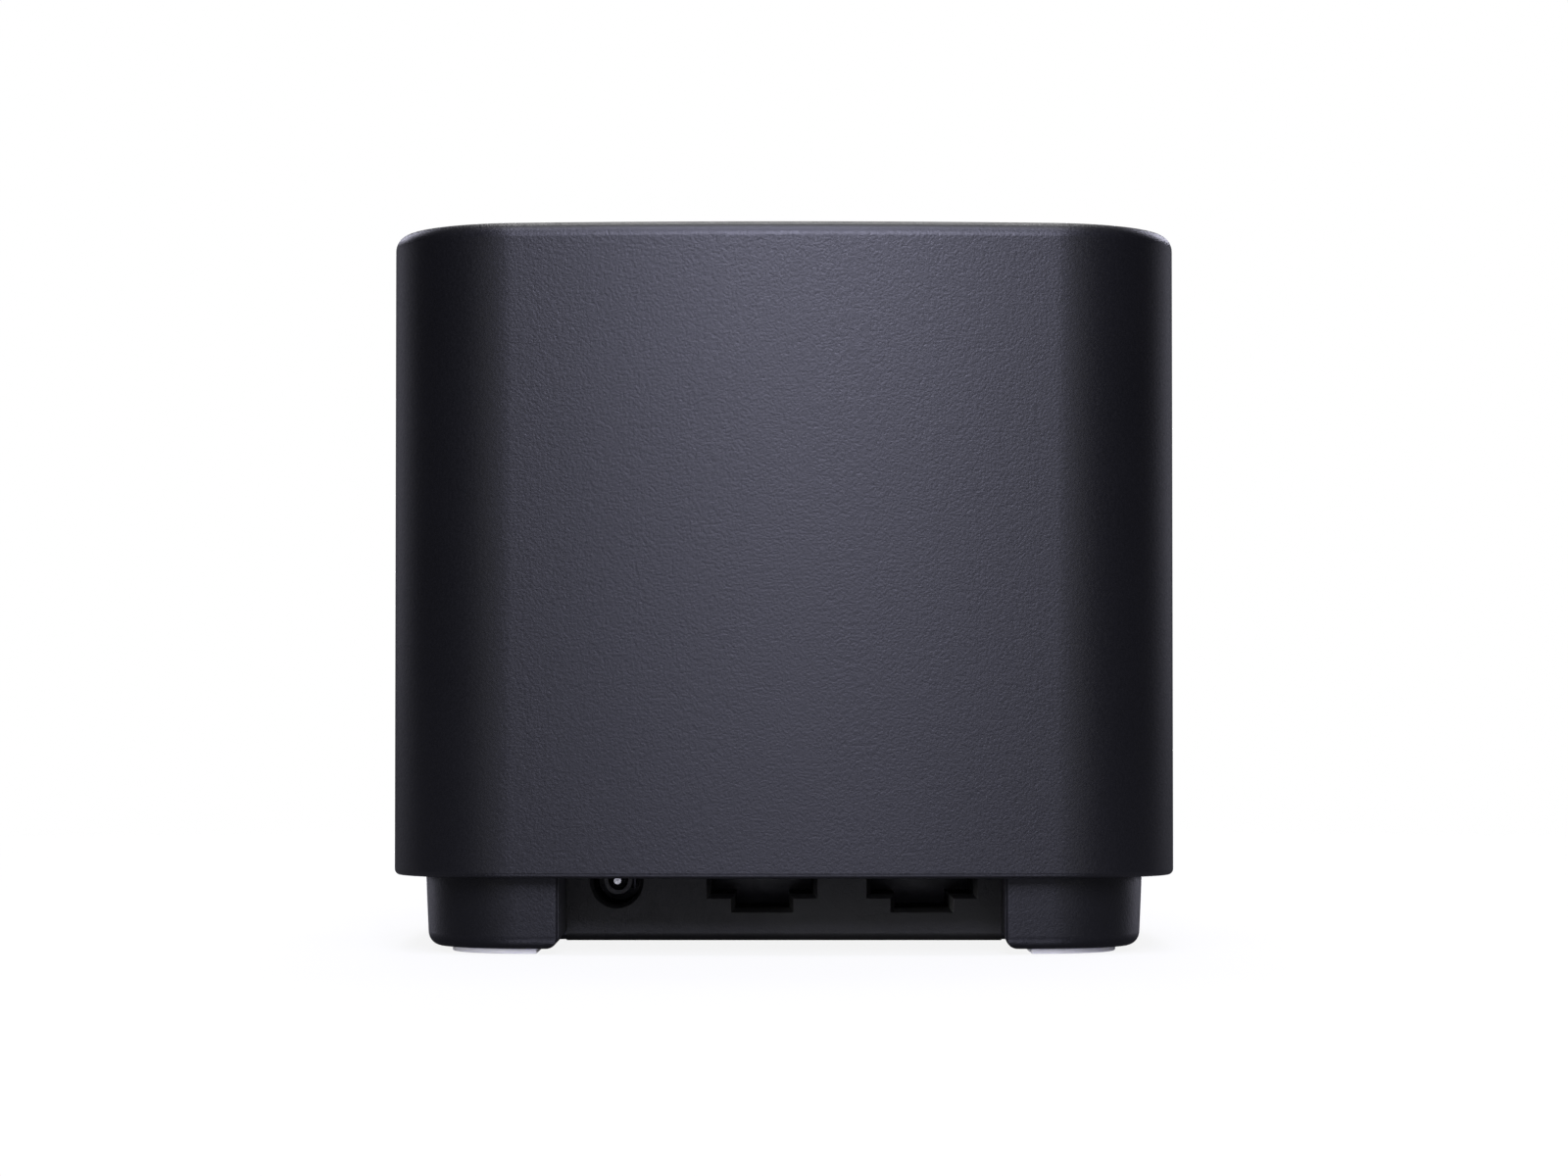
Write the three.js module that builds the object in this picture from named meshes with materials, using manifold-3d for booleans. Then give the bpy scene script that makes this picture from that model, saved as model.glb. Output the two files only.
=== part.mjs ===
// Mesh wifi node: a rounded-square shell over a base tray whose rear cable bay holds the sockets.
// Millimetres, +Z up, sockets facing -Y, origin on the resting plane under the middle.
import * as THREE from 'three';
import { mergeVertices } from 'three/addons/utils/BufferGeometryUtils.js';
import Module from 'manifold-3d';

const wasm = await Module();
wasm.setup();

// Outer form
const HALF_WIDTH = 45;
const HEIGHT = 80;
const SIDE_RADIUS = 300;
const CORNER_RADIUS = 15.5;
const SIDE_STEPS = 4;
const CORNER_STEPS = 8;
const GAP = 0.3;

// Shell
const RIM_Z = 8.5;
const RIM_ROUND = 0.5;
const TOP_ROUND = 2.2;
const SHELL_DRAFT = 0.1;
const SHELL_WALL = 2.2;
const SHELL_ROOF = 2.5;

// Base tray
const PAD_PROUD = 0.6;
const FLOOR_BOTTOM = PAD_PROUD;
const FLOOR_TOP = 2.2;
const TRAY_INSET_LOW = 3.8;
const TRAY_INSET_HIGH = 3.5;
const TRAY_ROUND = 1.6;
const TRAY_WALL = 2;
const FLANGE_Z = 9.5;
const FLANGE_INSET = SHELL_WALL + 0.4;
const TRAY_TOP = 14;

// Cable bay, open to the rear and to the underside
const BAY_HALF = 25.1;
const BAY_WALL = 1.6;
const BAY_ROOF = 15.2;
const BAY_EDGE_ROUND = 1.7;
const PANEL_FACE_Y = -19;
const PANEL_THICK = 1.5;
const BAY_END_Y = -17.2;

// Openings in the tray: light window at the front, label recess and vents underneath
const LABEL_X = [-17, 17];
const LABEL_Y = [12, 33];
const LABEL_Z = [FLOOR_BOTTOM + 0.1, FLOOR_BOTTOM + 0.4];
const WINDOW_X = [-4.2, 4.2];
const WINDOW_Z = [3.7, 6.9];
const VENT_Y = [12, 26];
const VENT_HALF = 0.8;
const VENT_FIRST_X = 21;
const VENT_PITCH = 3.6;
const VENTS_PER_SIDE = 4;

// Corner screws and pads
const SCREW_PLACE = 31.8;
const SCREW_SHANK_R = 1.2;
const SCREW_HOLE_R = 1.5;
const SCREW_HEAD_R = 2.5;
const SCREW_HEAD_Z = 1.4;
const SCREW_HEAD_TOP = 3;
const SCREW_TOP = 20;
const BOSS_R = 3.7;
const PAD_INSET = 6.5;
const PAD_SIDE = 27.2;
const PAD_THICK = 1;

// Sockets
const LAN_X = [-2.5, 15.8];
const LAN_OPENING_HALF = 5.85;
const LAN_OPENING_LOW = 5.9;
const LAN_OPENING_HIGH = 12.83;
const LAN_NOTCH_HALF = 3.1;
const LAN_NOTCH_LOW = 4.3;
const LAN_BODY_HALF = 7.8;
const LAN_BODY_LOW = 2.9;
const LAN_BODY_HIGH = 14.9;
const LAN_DEPTH = 13;
const BEVEL = 0.5;
const DC_X = -19.15;
const DC_Z = 7.35;
const DC_HOLE_R = 2.65;
const DC_BODY_HALF = 4.2;
const DC_DEPTH = 10;
const DC_PIN_R = 0.82;
const SOCKET_FACE_Y = PANEL_FACE_Y + PANEL_THICK + 0.2;

// Main board, upright across the middle
const BOARD_BACK = -0.4;
const BOARD_FRONT = 1.2;
const BOARD_HALF = 33;
const BOARD_LOW = 4;
const BOARD_HIGH = 68;
const SOCKET_BACK_Y = BOARD_BACK - GAP;
const SINK_HALF = 29;
const SINK_HIGH = 66;
const SINK_SCREW_X = 25.2;
const SINK_SCREW_Z = [33, 63];
const SINK_FRONT_NEAR = 4.6;
const SINK_REAR_NEAR = 5.3;
const FIN_DEPTH = 12;

// Buttons under the floor
const BUTTON_Y = 5.6;
const PAIRING_X = 16;
const RESET_X = -16;
const SWITCH_LOW = 5.6;
const PLUNGER_R = 1.6;
const PLUNGER_LOW = 3.9;
const PAIRING_HOLE_R = 4.5;
const PIN_HOLE_R = 1.1;
const CAP_R = 4.2;
const CAP_FLANGE_R = 5;
const CAP_LOW = 1.1;
const CAP_FLANGE_TOP = 3.2;

const DARK_PLASTIC = { color: 0x26262c, roughness: 0.62, metalness: 0 };
const BLACK_PLASTIC = { color: 0x101012, roughness: 0.5, metalness: 0 };
const SOFT_GREY = { color: 0xb9b8c2, roughness: 0.8, metalness: 0 };
const FRAME_PLASTIC = { color: 0x3a3b40, roughness: 0.6, metalness: 0 };
const BOARD_GREEN = { color: 0x14432c, roughness: 0.45, metalness: 0 };
const CHIP_BLACK = { color: 0x1b1b1d, roughness: 0.55, metalness: 0 };
const ALUMINIUM = { color: 0xb6b8bc, roughness: 0.35, metalness: 1 };
const STEEL = { color: 0x9ea0a4, roughness: 0.3, metalness: 1 };
const GOLD = { color: 0xc9a24a, roughness: 0.3, metalness: 1 };
const PAD_BLUE = { color: 0x6f93b8, roughness: 0.9, metalness: 0 };
const LABEL_WHITE = { color: 0xd9d9d6, roughness: 0.6, metalness: 0 };
const CLEAR_LENS = { color: 0xe8ecef, roughness: 0.2, metalness: 0 };

const node = new THREE.Group();

function addMesh(name, geometry, finish) {
  const mesh = new THREE.Mesh(geometry, new THREE.MeshStandardMaterial(finish));
  mesh.name = name;
  node.add(mesh);
}

// A closed geometry as a solid that can be joined and cut.
function solid(geometry) {
  geometry.deleteAttribute('normal');
  geometry.deleteAttribute('uv');
  const merged = mergeVertices(geometry, 1e-4);
  const vertProperties = Float32Array.from(merged.attributes.position.array);
  const triVerts = Uint32Array.from(merged.index.array);
  return new wasm.Manifold(new wasm.Mesh({ numProp: 3, vertProperties, triVerts }));
}

function toGeometry(body) {
  const { vertProperties, triVerts } = body.getMesh();
  const geometry = new THREE.BufferGeometry();
  geometry.setAttribute('position', new THREE.BufferAttribute(Float32Array.from(vertProperties), 3));
  geometry.setIndex(new THREE.BufferAttribute(Uint32Array.from(triVerts), 1));
  geometry.computeVertexNormals();
  return geometry;
}

function addSolid(name, body, finish) {
  addMesh(name, toGeometry(body), finish);
}

function boxGeometry([x0, x1], [y0, y1], [z0, z1]) {
  const geometry = new THREE.BoxGeometry(x1 - x0, y1 - y0, z1 - z0);
  return geometry.translate((x0 + x1) / 2, (y0 + y1) / 2, (z0 + z1) / 2);
}

const box = (x, y, z) => solid(boxGeometry(x, y, z));

// Round bar along Z, or along Y for pieces that lie towards the sockets.
function rodZ(radius, x, y, [z0, z1], sides = 24) {
  const geometry = new THREE.CylinderGeometry(radius, radius, z1 - z0, sides);
  return geometry.rotateX(Math.PI / 2).translate(x, y, (z0 + z1) / 2);
}

function rodY(radius, x, [y0, y1], z, sides = 24, endRadius = radius) {
  const geometry = new THREE.CylinderGeometry(endRadius, radius, y1 - y0, sides);
  return geometry.translate(x, (y0 + y1) / 2, z);
}

// Shape in X and Z, drawn out from y0 to y1.
function prismY(shape, [y0, y1], curveSegments = 6) {
  const geometry = new THREE.ExtrudeGeometry(shape, { depth: y1 - y0, bevelEnabled: false, curveSegments });
  return geometry.rotateX(Math.PI / 2).translate(0, y1, 0);
}

// Shape in Y and Z, drawn out from x0 to x1.
function prismX(shape, [x0, x1]) {
  const geometry = new THREE.ExtrudeGeometry(shape, { depth: x1 - x0, bevelEnabled: false });
  return geometry.rotateZ(Math.PI / 2).rotateY(Math.PI / 2).translate(x0, 0, 0);
}

// Plan of the node: four bulged sides and four corner arcs tangent to them.
function planOutline(inset) {
  const sideOffset = SIDE_RADIUS - HALF_WIDTH;
  const tangent = SIDE_RADIUS - CORNER_RADIUS;
  const corner = (Math.sqrt(2 * tangent ** 2 - sideOffset ** 2) - sideOffset) / 2;
  const sideAngle = Math.atan2(corner, corner + sideOffset);
  const points = [];
  const addArc = (turn, centre, radius, from, to, steps) => {
    for (let step = 0; step < steps; step += 1) {
      const angle = from + ((to - from) * step) / steps;
      const point = new THREE.Vector2(Math.cos(angle), Math.sin(angle)).multiplyScalar(radius);
      points.push(point.add(centre).rotateAround(new THREE.Vector2(), turn));
    }
  };
  for (let quarter = 0; quarter < 4; quarter += 1) {
    const turn = (quarter * Math.PI) / 2;
    const sideCentre = new THREE.Vector2(-sideOffset, 0);
    const cornerCentre = new THREE.Vector2(corner, corner);
    addArc(turn, sideCentre, SIDE_RADIUS - inset, -sideAngle, sideAngle, SIDE_STEPS);
    addArc(turn, cornerCentre, CORNER_RADIUS - inset, sideAngle, Math.PI / 2 - sideAngle, CORNER_STEPS);
  }
  return points;
}

// Stack of plan outlines, each [inset, z], closed by flat ends.
function loft(rings) {
  const positions = [];
  const indices = [];
  const count = planOutline(0).length;
  for (const [inset, z] of rings) {
    for (const point of planOutline(inset)) {
      positions.push(point.x, point.y, z);
    }
  }
  for (let ring = 0; ring < rings.length - 1; ring += 1) {
    for (let i = 0; i < count; i += 1) {
      const a = ring * count + i;
      const b = ring * count + ((i + 1) % count);
      indices.push(a, b, b + count, a, b + count, a + count);
    }
  }
  const lowCentre = rings.length * count;
  const highCentre = lowCentre + 1;
  const lastRing = (rings.length - 1) * count;
  positions.push(0, 0, rings[0][1], 0, 0, rings[rings.length - 1][1]);
  for (let i = 0; i < count; i += 1) {
    const next = (i + 1) % count;
    indices.push(lowCentre, next, i, highCentre, lastRing + i, lastRing + next);
  }
  const geometry = new THREE.BufferGeometry();
  geometry.setAttribute('position', new THREE.Float32BufferAttribute(positions, 3));
  geometry.setIndex(indices);
  return solid(geometry);
}

// Quarter-round between a level z and an inset, as loft rings.
function roundRings(inset, z, radius, { top }, steps = 4) {
  const rings = [];
  for (let step = 0; step <= steps; step += 1) {
    const angle = (step / steps) * (Math.PI / 2);
    const drop = radius * (1 - Math.cos(angle));
    const rise = radius * Math.sin(angle);
    rings.push(top ? [inset + drop, z - radius + rise] : [inset + drop, z + radius - rise]);
  }
  return top ? rings : rings.reverse();
}

function cornerPlaces() {
  return [
    ['rear_left', -1, -1],
    ['rear_right', 1, -1],
    ['front_left', -1, 1],
    ['front_right', 1, 1],
  ];
}

// Range from a to b on the +X or +Y side, or its mirror image on the other side.
const sided = (side, a, b) => (side > 0 ? [a, b] : [-b, -a]);

function makeShell() {
  const outside = loft([
    ...roundRings(0, RIM_Z, RIM_ROUND, { top: false }, 2),
    ...roundRings(SHELL_DRAFT, HEIGHT, TOP_ROUND, { top: true }, 5),
  ]);
  const innerRound = 1.2;
  const inside = loft([
    [SHELL_WALL, RIM_Z - 1],
    ...roundRings(SHELL_WALL + SHELL_DRAFT, HEIGHT - SHELL_ROOF, innerRound, { top: true }, 2),
  ]);
  let shell = outside.subtract(inside);
  const bossTop = 32;
  const ribLength = 9;
  const ribThick = 1.6;
  const ribHeight = bossTop - TRAY_TOP - GAP;
  for (const [, sx, sy] of cornerPlaces()) {
    const x = sx * SCREW_PLACE;
    const y = sy * SCREW_PLACE;
    const rib = new THREE.BoxGeometry(ribLength, ribThick, ribHeight);
    rib.translate(ribLength / 2, 0, bossTop - ribHeight / 2).rotateZ(Math.atan2(sy, sx)).translate(x, y, 0);
    const ribInside = solid(rib).intersect(loft([[SHELL_WALL / 2, 10], [SHELL_WALL / 2, bossTop]]));
    shell = shell.add(ribInside).add(solid(rodZ(BOSS_R - 0.5, x, y, [TRAY_TOP + GAP, bossTop])));
    shell = shell.subtract(solid(rodZ(SCREW_HOLE_R, x, y, [RIM_Z, SCREW_TOP + 2], 16)));
  }
  addSolid('outer_shell', shell, DARK_PLASTIC);
}

// Outline of the bay's cross-section, flared where the legs' lower edges are rounded.
function bayShape(low) {
  const shape = new THREE.Shape();
  const edge = BAY_HALF + BAY_EDGE_ROUND;
  const roundTop = FLOOR_BOTTOM + BAY_EDGE_ROUND;
  shape.moveTo(-edge, low);
  shape.lineTo(edge, low);
  shape.lineTo(edge, FLOOR_BOTTOM);
  shape.absarc(edge, roundTop, BAY_EDGE_ROUND, -Math.PI / 2, -Math.PI, true);
  shape.lineTo(BAY_HALF, BAY_ROOF);
  shape.lineTo(-BAY_HALF, BAY_ROOF);
  shape.lineTo(-BAY_HALF, roundTop);
  shape.absarc(-edge, roundTop, BAY_EDGE_ROUND, 0, -Math.PI / 2, true);
  return shape;
}

// Corner pad between two levels: the node's own outline outside, two straight inner sides.
function padSolid(sx, sy, inset, side, z) {
  const corner = box(sided(sx, side, HALF_WIDTH), sided(sy, side, HALF_WIDTH), [z[0] - 1, z[1] + 1]);
  return loft([[inset, z[0]], [inset, z[1]]]).intersect(corner);
}

function floorVents() {
  const vents = [];
  for (const side of [-1, 1]) {
    for (let slot = 0; slot < VENTS_PER_SIDE; slot += 1) {
      const x = side * (VENT_FIRST_X + slot * VENT_PITCH);
      vents.push(box([x - VENT_HALF, x + VENT_HALF], VENT_Y, [FLOOR_BOTTOM - 1, FLOOR_TOP + 1]));
    }
  }
  return vents;
}

function makeBaseTray() {
  const bayRoofTop = BAY_ROOF + BAY_WALL;
  const block = loft([
    ...roundRings(TRAY_INSET_LOW, FLOOR_BOTTOM, TRAY_ROUND, { top: false }, 4),
    [TRAY_INSET_HIGH, FLANGE_Z - 0.1],
    [FLANGE_INSET, FLANGE_Z],
    [FLANGE_INSET, bayRoofTop],
  ]);
  const reach = HALF_WIDTH;
  const wide = [-reach, reach];
  const cavity = loft([
    [TRAY_INSET_LOW + TRAY_WALL, FLOOR_TOP],
    [TRAY_INSET_HIGH + TRAY_WALL, FLANGE_Z],
    [FLANGE_INSET + TRAY_WALL, FLANGE_Z + 1],
    [FLANGE_INSET + TRAY_WALL, bayRoofTop + 1],
  ]);
  let tray = block.subtract(box(wide, wide, [TRAY_TOP, HEIGHT])).subtract(cavity);
  const bayOuter = BAY_HALF + BAY_WALL;
  const bayWalls = box([-bayOuter, bayOuter], [-reach, BAY_END_Y], [FLOOR_BOTTOM, bayRoofTop]);
  tray = tray.add(bayWalls.intersect(block));
  for (const [, sx, sy] of cornerPlaces()) {
    const x = sx * SCREW_PLACE;
    const y = sy * SCREW_PLACE;
    tray = tray.add(solid(rodZ(BOSS_R, x, y, [FLOOR_BOTTOM + 1, TRAY_TOP])));
    tray = tray.subtract(solid(rodZ(SCREW_HOLE_R, x, y, [0, TRAY_TOP + 1], 16)));
    tray = tray.subtract(solid(rodZ(SCREW_HEAD_R + GAP, x, y, [0, SCREW_HEAD_TOP + GAP])));
    const clearance = GAP / 2;
    const recess = padSolid(sx, sy, PAD_INSET - clearance, PAD_SIDE - clearance, [0, PAD_THICK + 0.1]);
    tray = tray.subtract(recess);
  }
  tray = tray.subtract(solid(prismY(bayShape(-1), [-reach - 5, BAY_END_Y])));
  const grow = ([low, high], by) => [low - by, high + by];
  const holes = [
    solid(rodZ(PAIRING_HOLE_R, PAIRING_X, BUTTON_Y, [0, FLOOR_TOP + 1], 32)),
    solid(rodZ(PIN_HOLE_R, RESET_X, BUTTON_Y, [0, FLOOR_TOP + 1], 16)),
    box(grow(LABEL_X, GAP), grow(LABEL_Y, GAP), [0, LABEL_Z[1] + 0.1]),
    box(WINDOW_X, [HALF_WIDTH - 15, HALF_WIDTH + 5], WINDOW_Z),
    ...floorVents(),
  ];
  for (const hole of holes) {
    tray = tray.subtract(hole);
  }
  addSolid('base_tray', tray, DARK_PLASTIC);
}

function makePadsAndScrews() {
  const headRound = 0.4;
  const tipLength = 0.8;
  cornerPlaces().forEach(([place, sx, sy], index) => {
    addSolid(`foot_pad_${place}`, padSolid(sx, sy, PAD_INSET, PAD_SIDE, [0, PAD_THICK]), SOFT_GREY);
    const profile = [
      new THREE.Vector2(0, SCREW_HEAD_Z),
      new THREE.Vector2(SCREW_HEAD_R - headRound, SCREW_HEAD_Z),
      new THREE.Vector2(SCREW_HEAD_R, SCREW_HEAD_Z + headRound),
      new THREE.Vector2(SCREW_HEAD_R, SCREW_HEAD_TOP),
      new THREE.Vector2(SCREW_SHANK_R, SCREW_HEAD_TOP),
      new THREE.Vector2(SCREW_SHANK_R, SCREW_TOP - tipLength),
      new THREE.Vector2(0, SCREW_TOP),
    ];
    const screw = new THREE.LatheGeometry(profile, 16).rotateX(Math.PI / 2);
    screw.translate(sx * SCREW_PLACE, sy * SCREW_PLACE, 0);
    addSolid(`base_screw_${index + 1}`, solid(screw), STEEL);
  });
  addMesh('rating_label', boxGeometry(LABEL_X, LABEL_Y, LABEL_Z), LABEL_WHITE);
}

// Outline of a network socket: a wide slot with the latch notch under it, grown by a margin.
function lanShape(x, grow) {
  const shape = new THREE.Shape();
  const half = LAN_OPENING_HALF + grow;
  const notch = LAN_NOTCH_HALF + grow;
  const low = LAN_OPENING_LOW - grow;
  shape.moveTo(x - notch, LAN_NOTCH_LOW - grow);
  shape.lineTo(x + notch, LAN_NOTCH_LOW - grow);
  shape.lineTo(x + notch, low);
  shape.lineTo(x + half, low);
  shape.lineTo(x + half, LAN_OPENING_HIGH + grow);
  shape.lineTo(x - half, LAN_OPENING_HIGH + grow);
  shape.lineTo(x - half, low);
  shape.lineTo(x - notch, low);
  return shape;
}

function makePortPanel() {
  const panelHalf = BAY_HALF - 0.2;
  const panelY = [PANEL_FACE_Y, PANEL_FACE_Y + PANEL_THICK];
  let panel = box([-panelHalf, panelHalf], panelY, [FLOOR_BOTTOM, BAY_ROOF - 0.2]);
  const through = [PANEL_FACE_Y - 1, PANEL_FACE_Y + PANEL_THICK + 1];
  for (const x of LAN_X) {
    panel = panel.subtract(solid(prismY(lanShape(x, 0.02), through)));
    panel = panel.subtract(solid(prismY(lanShape(x, BEVEL), [PANEL_FACE_Y - 1, PANEL_FACE_Y + BEVEL])));
  }
  panel = panel.subtract(solid(rodY(DC_HOLE_R, DC_X, through, DC_Z, 32)));
  const chamferY = [PANEL_FACE_Y - BEVEL, PANEL_FACE_Y + BEVEL];
  const chamfer = rodY(DC_HOLE_R + 0.7, DC_X, chamferY, DC_Z, 32, DC_HOLE_R + 0.1);
  panel = panel.subtract(solid(chamfer));
  addSolid('port_panel', panel, DARK_PLASTIC);
}

// Eight sprung wires on one carrier at the back of the socket.
function contactComb(x) {
  const wireCount = 8;
  const pitch = 1.02;
  const wireHalf = 0.2;
  const wireThick = 0.4;
  const carrierHalf = 5;
  const carrierZ = [10.3, 12.6];
  const carrierY = [SOCKET_FACE_Y + LAN_DEPTH - 2, SOCKET_FACE_Y + LAN_DEPTH - 0.2];
  const tip = new THREE.Vector2(SOCKET_FACE_Y + 1.2, 12.2);
  const bend = new THREE.Vector2(carrierY[0] - 1.5, carrierZ[0] + 0.1);
  const root = new THREE.Vector2(carrierY[0] + 0.5, bend.y);
  let comb = box([x - carrierHalf, x + carrierHalf], carrierY, carrierZ);
  const wire = new THREE.Shape();
  wire.moveTo(root.x, root.y);
  wire.lineTo(bend.x, bend.y);
  wire.lineTo(tip.x, tip.y);
  wire.lineTo(tip.x, tip.y + wireThick - 0.1);
  wire.lineTo(bend.x, bend.y + wireThick);
  wire.lineTo(root.x, root.y + wireThick);
  for (let i = 0; i < wireCount; i += 1) {
    const wireX = x + (i - (wireCount - 1) / 2) * pitch;
    comb = comb.add(solid(prismX(wire, [wireX - wireHalf, wireX + wireHalf])));
  }
  return comb;
}

function makeNetworkSockets() {
  LAN_X.forEach((x, index) => {
    const body = box(
      [x - LAN_BODY_HALF, x + LAN_BODY_HALF],
      [SOCKET_FACE_Y, SOCKET_BACK_Y],
      [LAN_BODY_LOW, LAN_BODY_HIGH],
    );
    const hollow = solid(prismY(lanShape(x, 0), [SOCKET_FACE_Y - 1, SOCKET_FACE_Y + LAN_DEPTH]));
    addSolid(`ethernet_jack_${index + 1}`, body.subtract(hollow), BLACK_PLASTIC);
    addSolid(`ethernet_contacts_${index + 1}`, contactComb(x), GOLD);
    const transformer = boxGeometry([x - 7, x + 7], [BOARD_BACK - 6, BOARD_BACK - 0.1], [18, 27]);
    addMesh(`lan_transformer_${index + 1}`, transformer, CHIP_BLACK);
  });
}

function makePowerInlet() {
  const half = DC_BODY_HALF;
  let body = box([DC_X - half, DC_X + half], [SOCKET_FACE_Y, SOCKET_BACK_Y], [DC_Z - half, DC_Z + half]);
  const bore = rodY(DC_HOLE_R, DC_X, [SOCKET_FACE_Y - 1, SOCKET_FACE_Y + DC_DEPTH], DC_Z, 32);
  const pinBore = rodY(DC_PIN_R + 0.2, DC_X, [SOCKET_FACE_Y, SOCKET_BACK_Y + 1], DC_Z, 16);
  const springX = [DC_X + 1.75, DC_X + 2.05];
  const springHalf = 0.9;
  const slotX = [springX[0] - 0.15, springX[1] + 0.15];
  const slotY = [SOCKET_FACE_Y + DC_DEPTH - 1, SOCKET_BACK_Y + 1];
  const springSlot = box(slotX, slotY, [DC_Z - springHalf - 0.2, DC_Z + springHalf + 0.2]);
  body = body.subtract(solid(bore)).subtract(solid(pinBore)).subtract(springSlot);
  addSolid('dc_jack', body, BLACK_PLASTIC);
  const tipY = SOCKET_FACE_Y + 1;
  const profile = [
    new THREE.Vector2(0, SOCKET_BACK_Y),
    new THREE.Vector2(DC_PIN_R, SOCKET_BACK_Y),
    new THREE.Vector2(DC_PIN_R, tipY + 0.6),
    new THREE.Vector2(DC_PIN_R * 0.7, tipY + 0.2),
    new THREE.Vector2(0, tipY),
  ];
  const pin = new THREE.LatheGeometry(profile.reverse(), 16).translate(DC_X, 0, DC_Z);
  addSolid('dc_center_pin', solid(pin), STEEL);
  const springY = [SOCKET_FACE_Y + 2, SOCKET_BACK_Y];
  const spring = boxGeometry(springX, springY, [DC_Z - springHalf, DC_Z + springHalf]);
  addMesh('dc_spring_contact', spring, STEEL);
}

function makeInnerFrame() {
  const railIn = BOARD_HALF - 2;
  const railOut = 36;
  const frameTop = 73;
  const beamLow = 70.5;
  const railY = [-4.5, 5.5];
  const cheekThick = 1.5;
  const cheekY = [-13, 14];
  const cheekLow = 34;
  const slack = 0.2;
  let frame = box([-railOut, railOut], railY, [beamLow, frameTop]);
  for (const side of [-1, 1]) {
    frame = frame.add(box(sided(side, railIn, railOut), railY, [FLOOR_TOP + 0.1, frameTop]));
    frame = frame.add(box(sided(side, railOut - cheekThick, railOut), cheekY, [cheekLow, frameTop]));
    const groove = box(
      sided(side, railIn - 1, BOARD_HALF + GAP),
      [BOARD_BACK - slack, BOARD_FRONT + slack],
      [FLOOR_TOP - 1, BOARD_HIGH + GAP],
    );
    frame = frame.subtract(groove);
  }
  addSolid('inner_frame', frame, FRAME_PLASTIC);
}

function sinkScrewPlaces() {
  const places = [];
  for (const x of [-SINK_SCREW_X, SINK_SCREW_X]) {
    for (const z of SINK_SCREW_Z) {
      places.push([x, z]);
    }
  }
  return places;
}

function drillSinkHoles(body, radius) {
  let drilled = body;
  for (const [x, z] of sinkScrewPlaces()) {
    drilled = drilled.subtract(solid(rodY(radius, x, [-30, 30], z, 12)));
  }
  return drilled;
}

function makeMainBoard() {
  const board = box([-BOARD_HALF, BOARD_HALF], [BOARD_BACK, BOARD_FRONT], [BOARD_LOW, BOARD_HIGH]);
  addSolid('main_board', drillSinkHoles(board, 1.3), BOARD_GREEN);
}

// Part that lies on the board's front face: x and z ranges and its height off the board.
function addFrontChip(name, x, z, height, finish = CHIP_BLACK) {
  addMesh(name, boxGeometry(x, [BOARD_FRONT + 0.1, BOARD_FRONT + height], z), finish);
}

function makeBoardParts() {
  addFrontChip('wifi_processor', [-9, 9], [40, 58], 1.5);
  addFrontChip('memory_chip', [13, 24], [42, 55], 1.2);
  addFrontChip('network_switch_chip', [-23, -13], [42, 52], 1.1);
  addFrontChip('flash_chip', [-22, -14], [55, 61], 1);
  const capacitorPlaces = [[-27, 12.5], [-27, 20.5]];
  const canRadius = 3.1;
  const canY = [BOARD_BACK - 7.5, BOARD_BACK - 0.1];
  capacitorPlaces.forEach(([x, z], index) => {
    addMesh(`power_capacitor_${index + 1}`, rodY(canRadius, x, canY, z, 20), ALUMINIUM);
  });
  const inductorY = [BOARD_BACK - 4.5, BOARD_BACK - 0.1];
  addMesh('power_inductor', boxGeometry([-21, -12], inductorY, [14, 23]), CHIP_BLACK);
}

// Thin-walled can, open towards the board.
function makeRadioShields() {
  const wall = 0.4;
  const outerY = BOARD_BACK - 3.3;
  const z = [33, 62];
  const padY = [outerY - 1.3, outerY - 0.1];
  const padMargin = 3;
  [[-23.6, -2.5], [2.5, 23.6]].forEach(([x0, x1], index) => {
    const outer = box([x0, x1], [outerY, BOARD_BACK - 0.1], z);
    const inner = box([x0 + wall, x1 - wall], [outerY + wall, BOARD_BACK], [z[0] + wall, z[1] - wall]);
    addSolid(`radio_shield_${index + 1}`, outer.subtract(inner), STEEL);
    const pad = boxGeometry([x0 + padMargin, x1 - padMargin], padY, [38, 58]);
    addMesh(`radio_thermal_pad_${index + 1}`, pad, PAD_BLUE);
  });
}

// Plate with upright fins; direction +1 faces the front and -1 the rear.
function heatSink(direction, plateNear, zLow) {
  const plateFar = plateNear + 2.4;
  const finCount = 10;
  const finHalf = 0.6;
  const finPitch = (2 * (SINK_HALF - finHalf)) / (finCount - 1);
  const finY = sided(direction, plateNear + 1, plateFar + FIN_DEPTH);
  let sink = box([-SINK_HALF, SINK_HALF], sided(direction, plateNear, plateFar), [zLow, SINK_HIGH]);
  for (let i = 0; i < finCount; i += 1) {
    const x = -SINK_HALF + finHalf + i * finPitch;
    sink = sink.add(box([x - finHalf, x + finHalf], finY, [zLow, SINK_HIGH]));
  }
  return drillSinkHoles(sink, 1.6);
}

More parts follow.
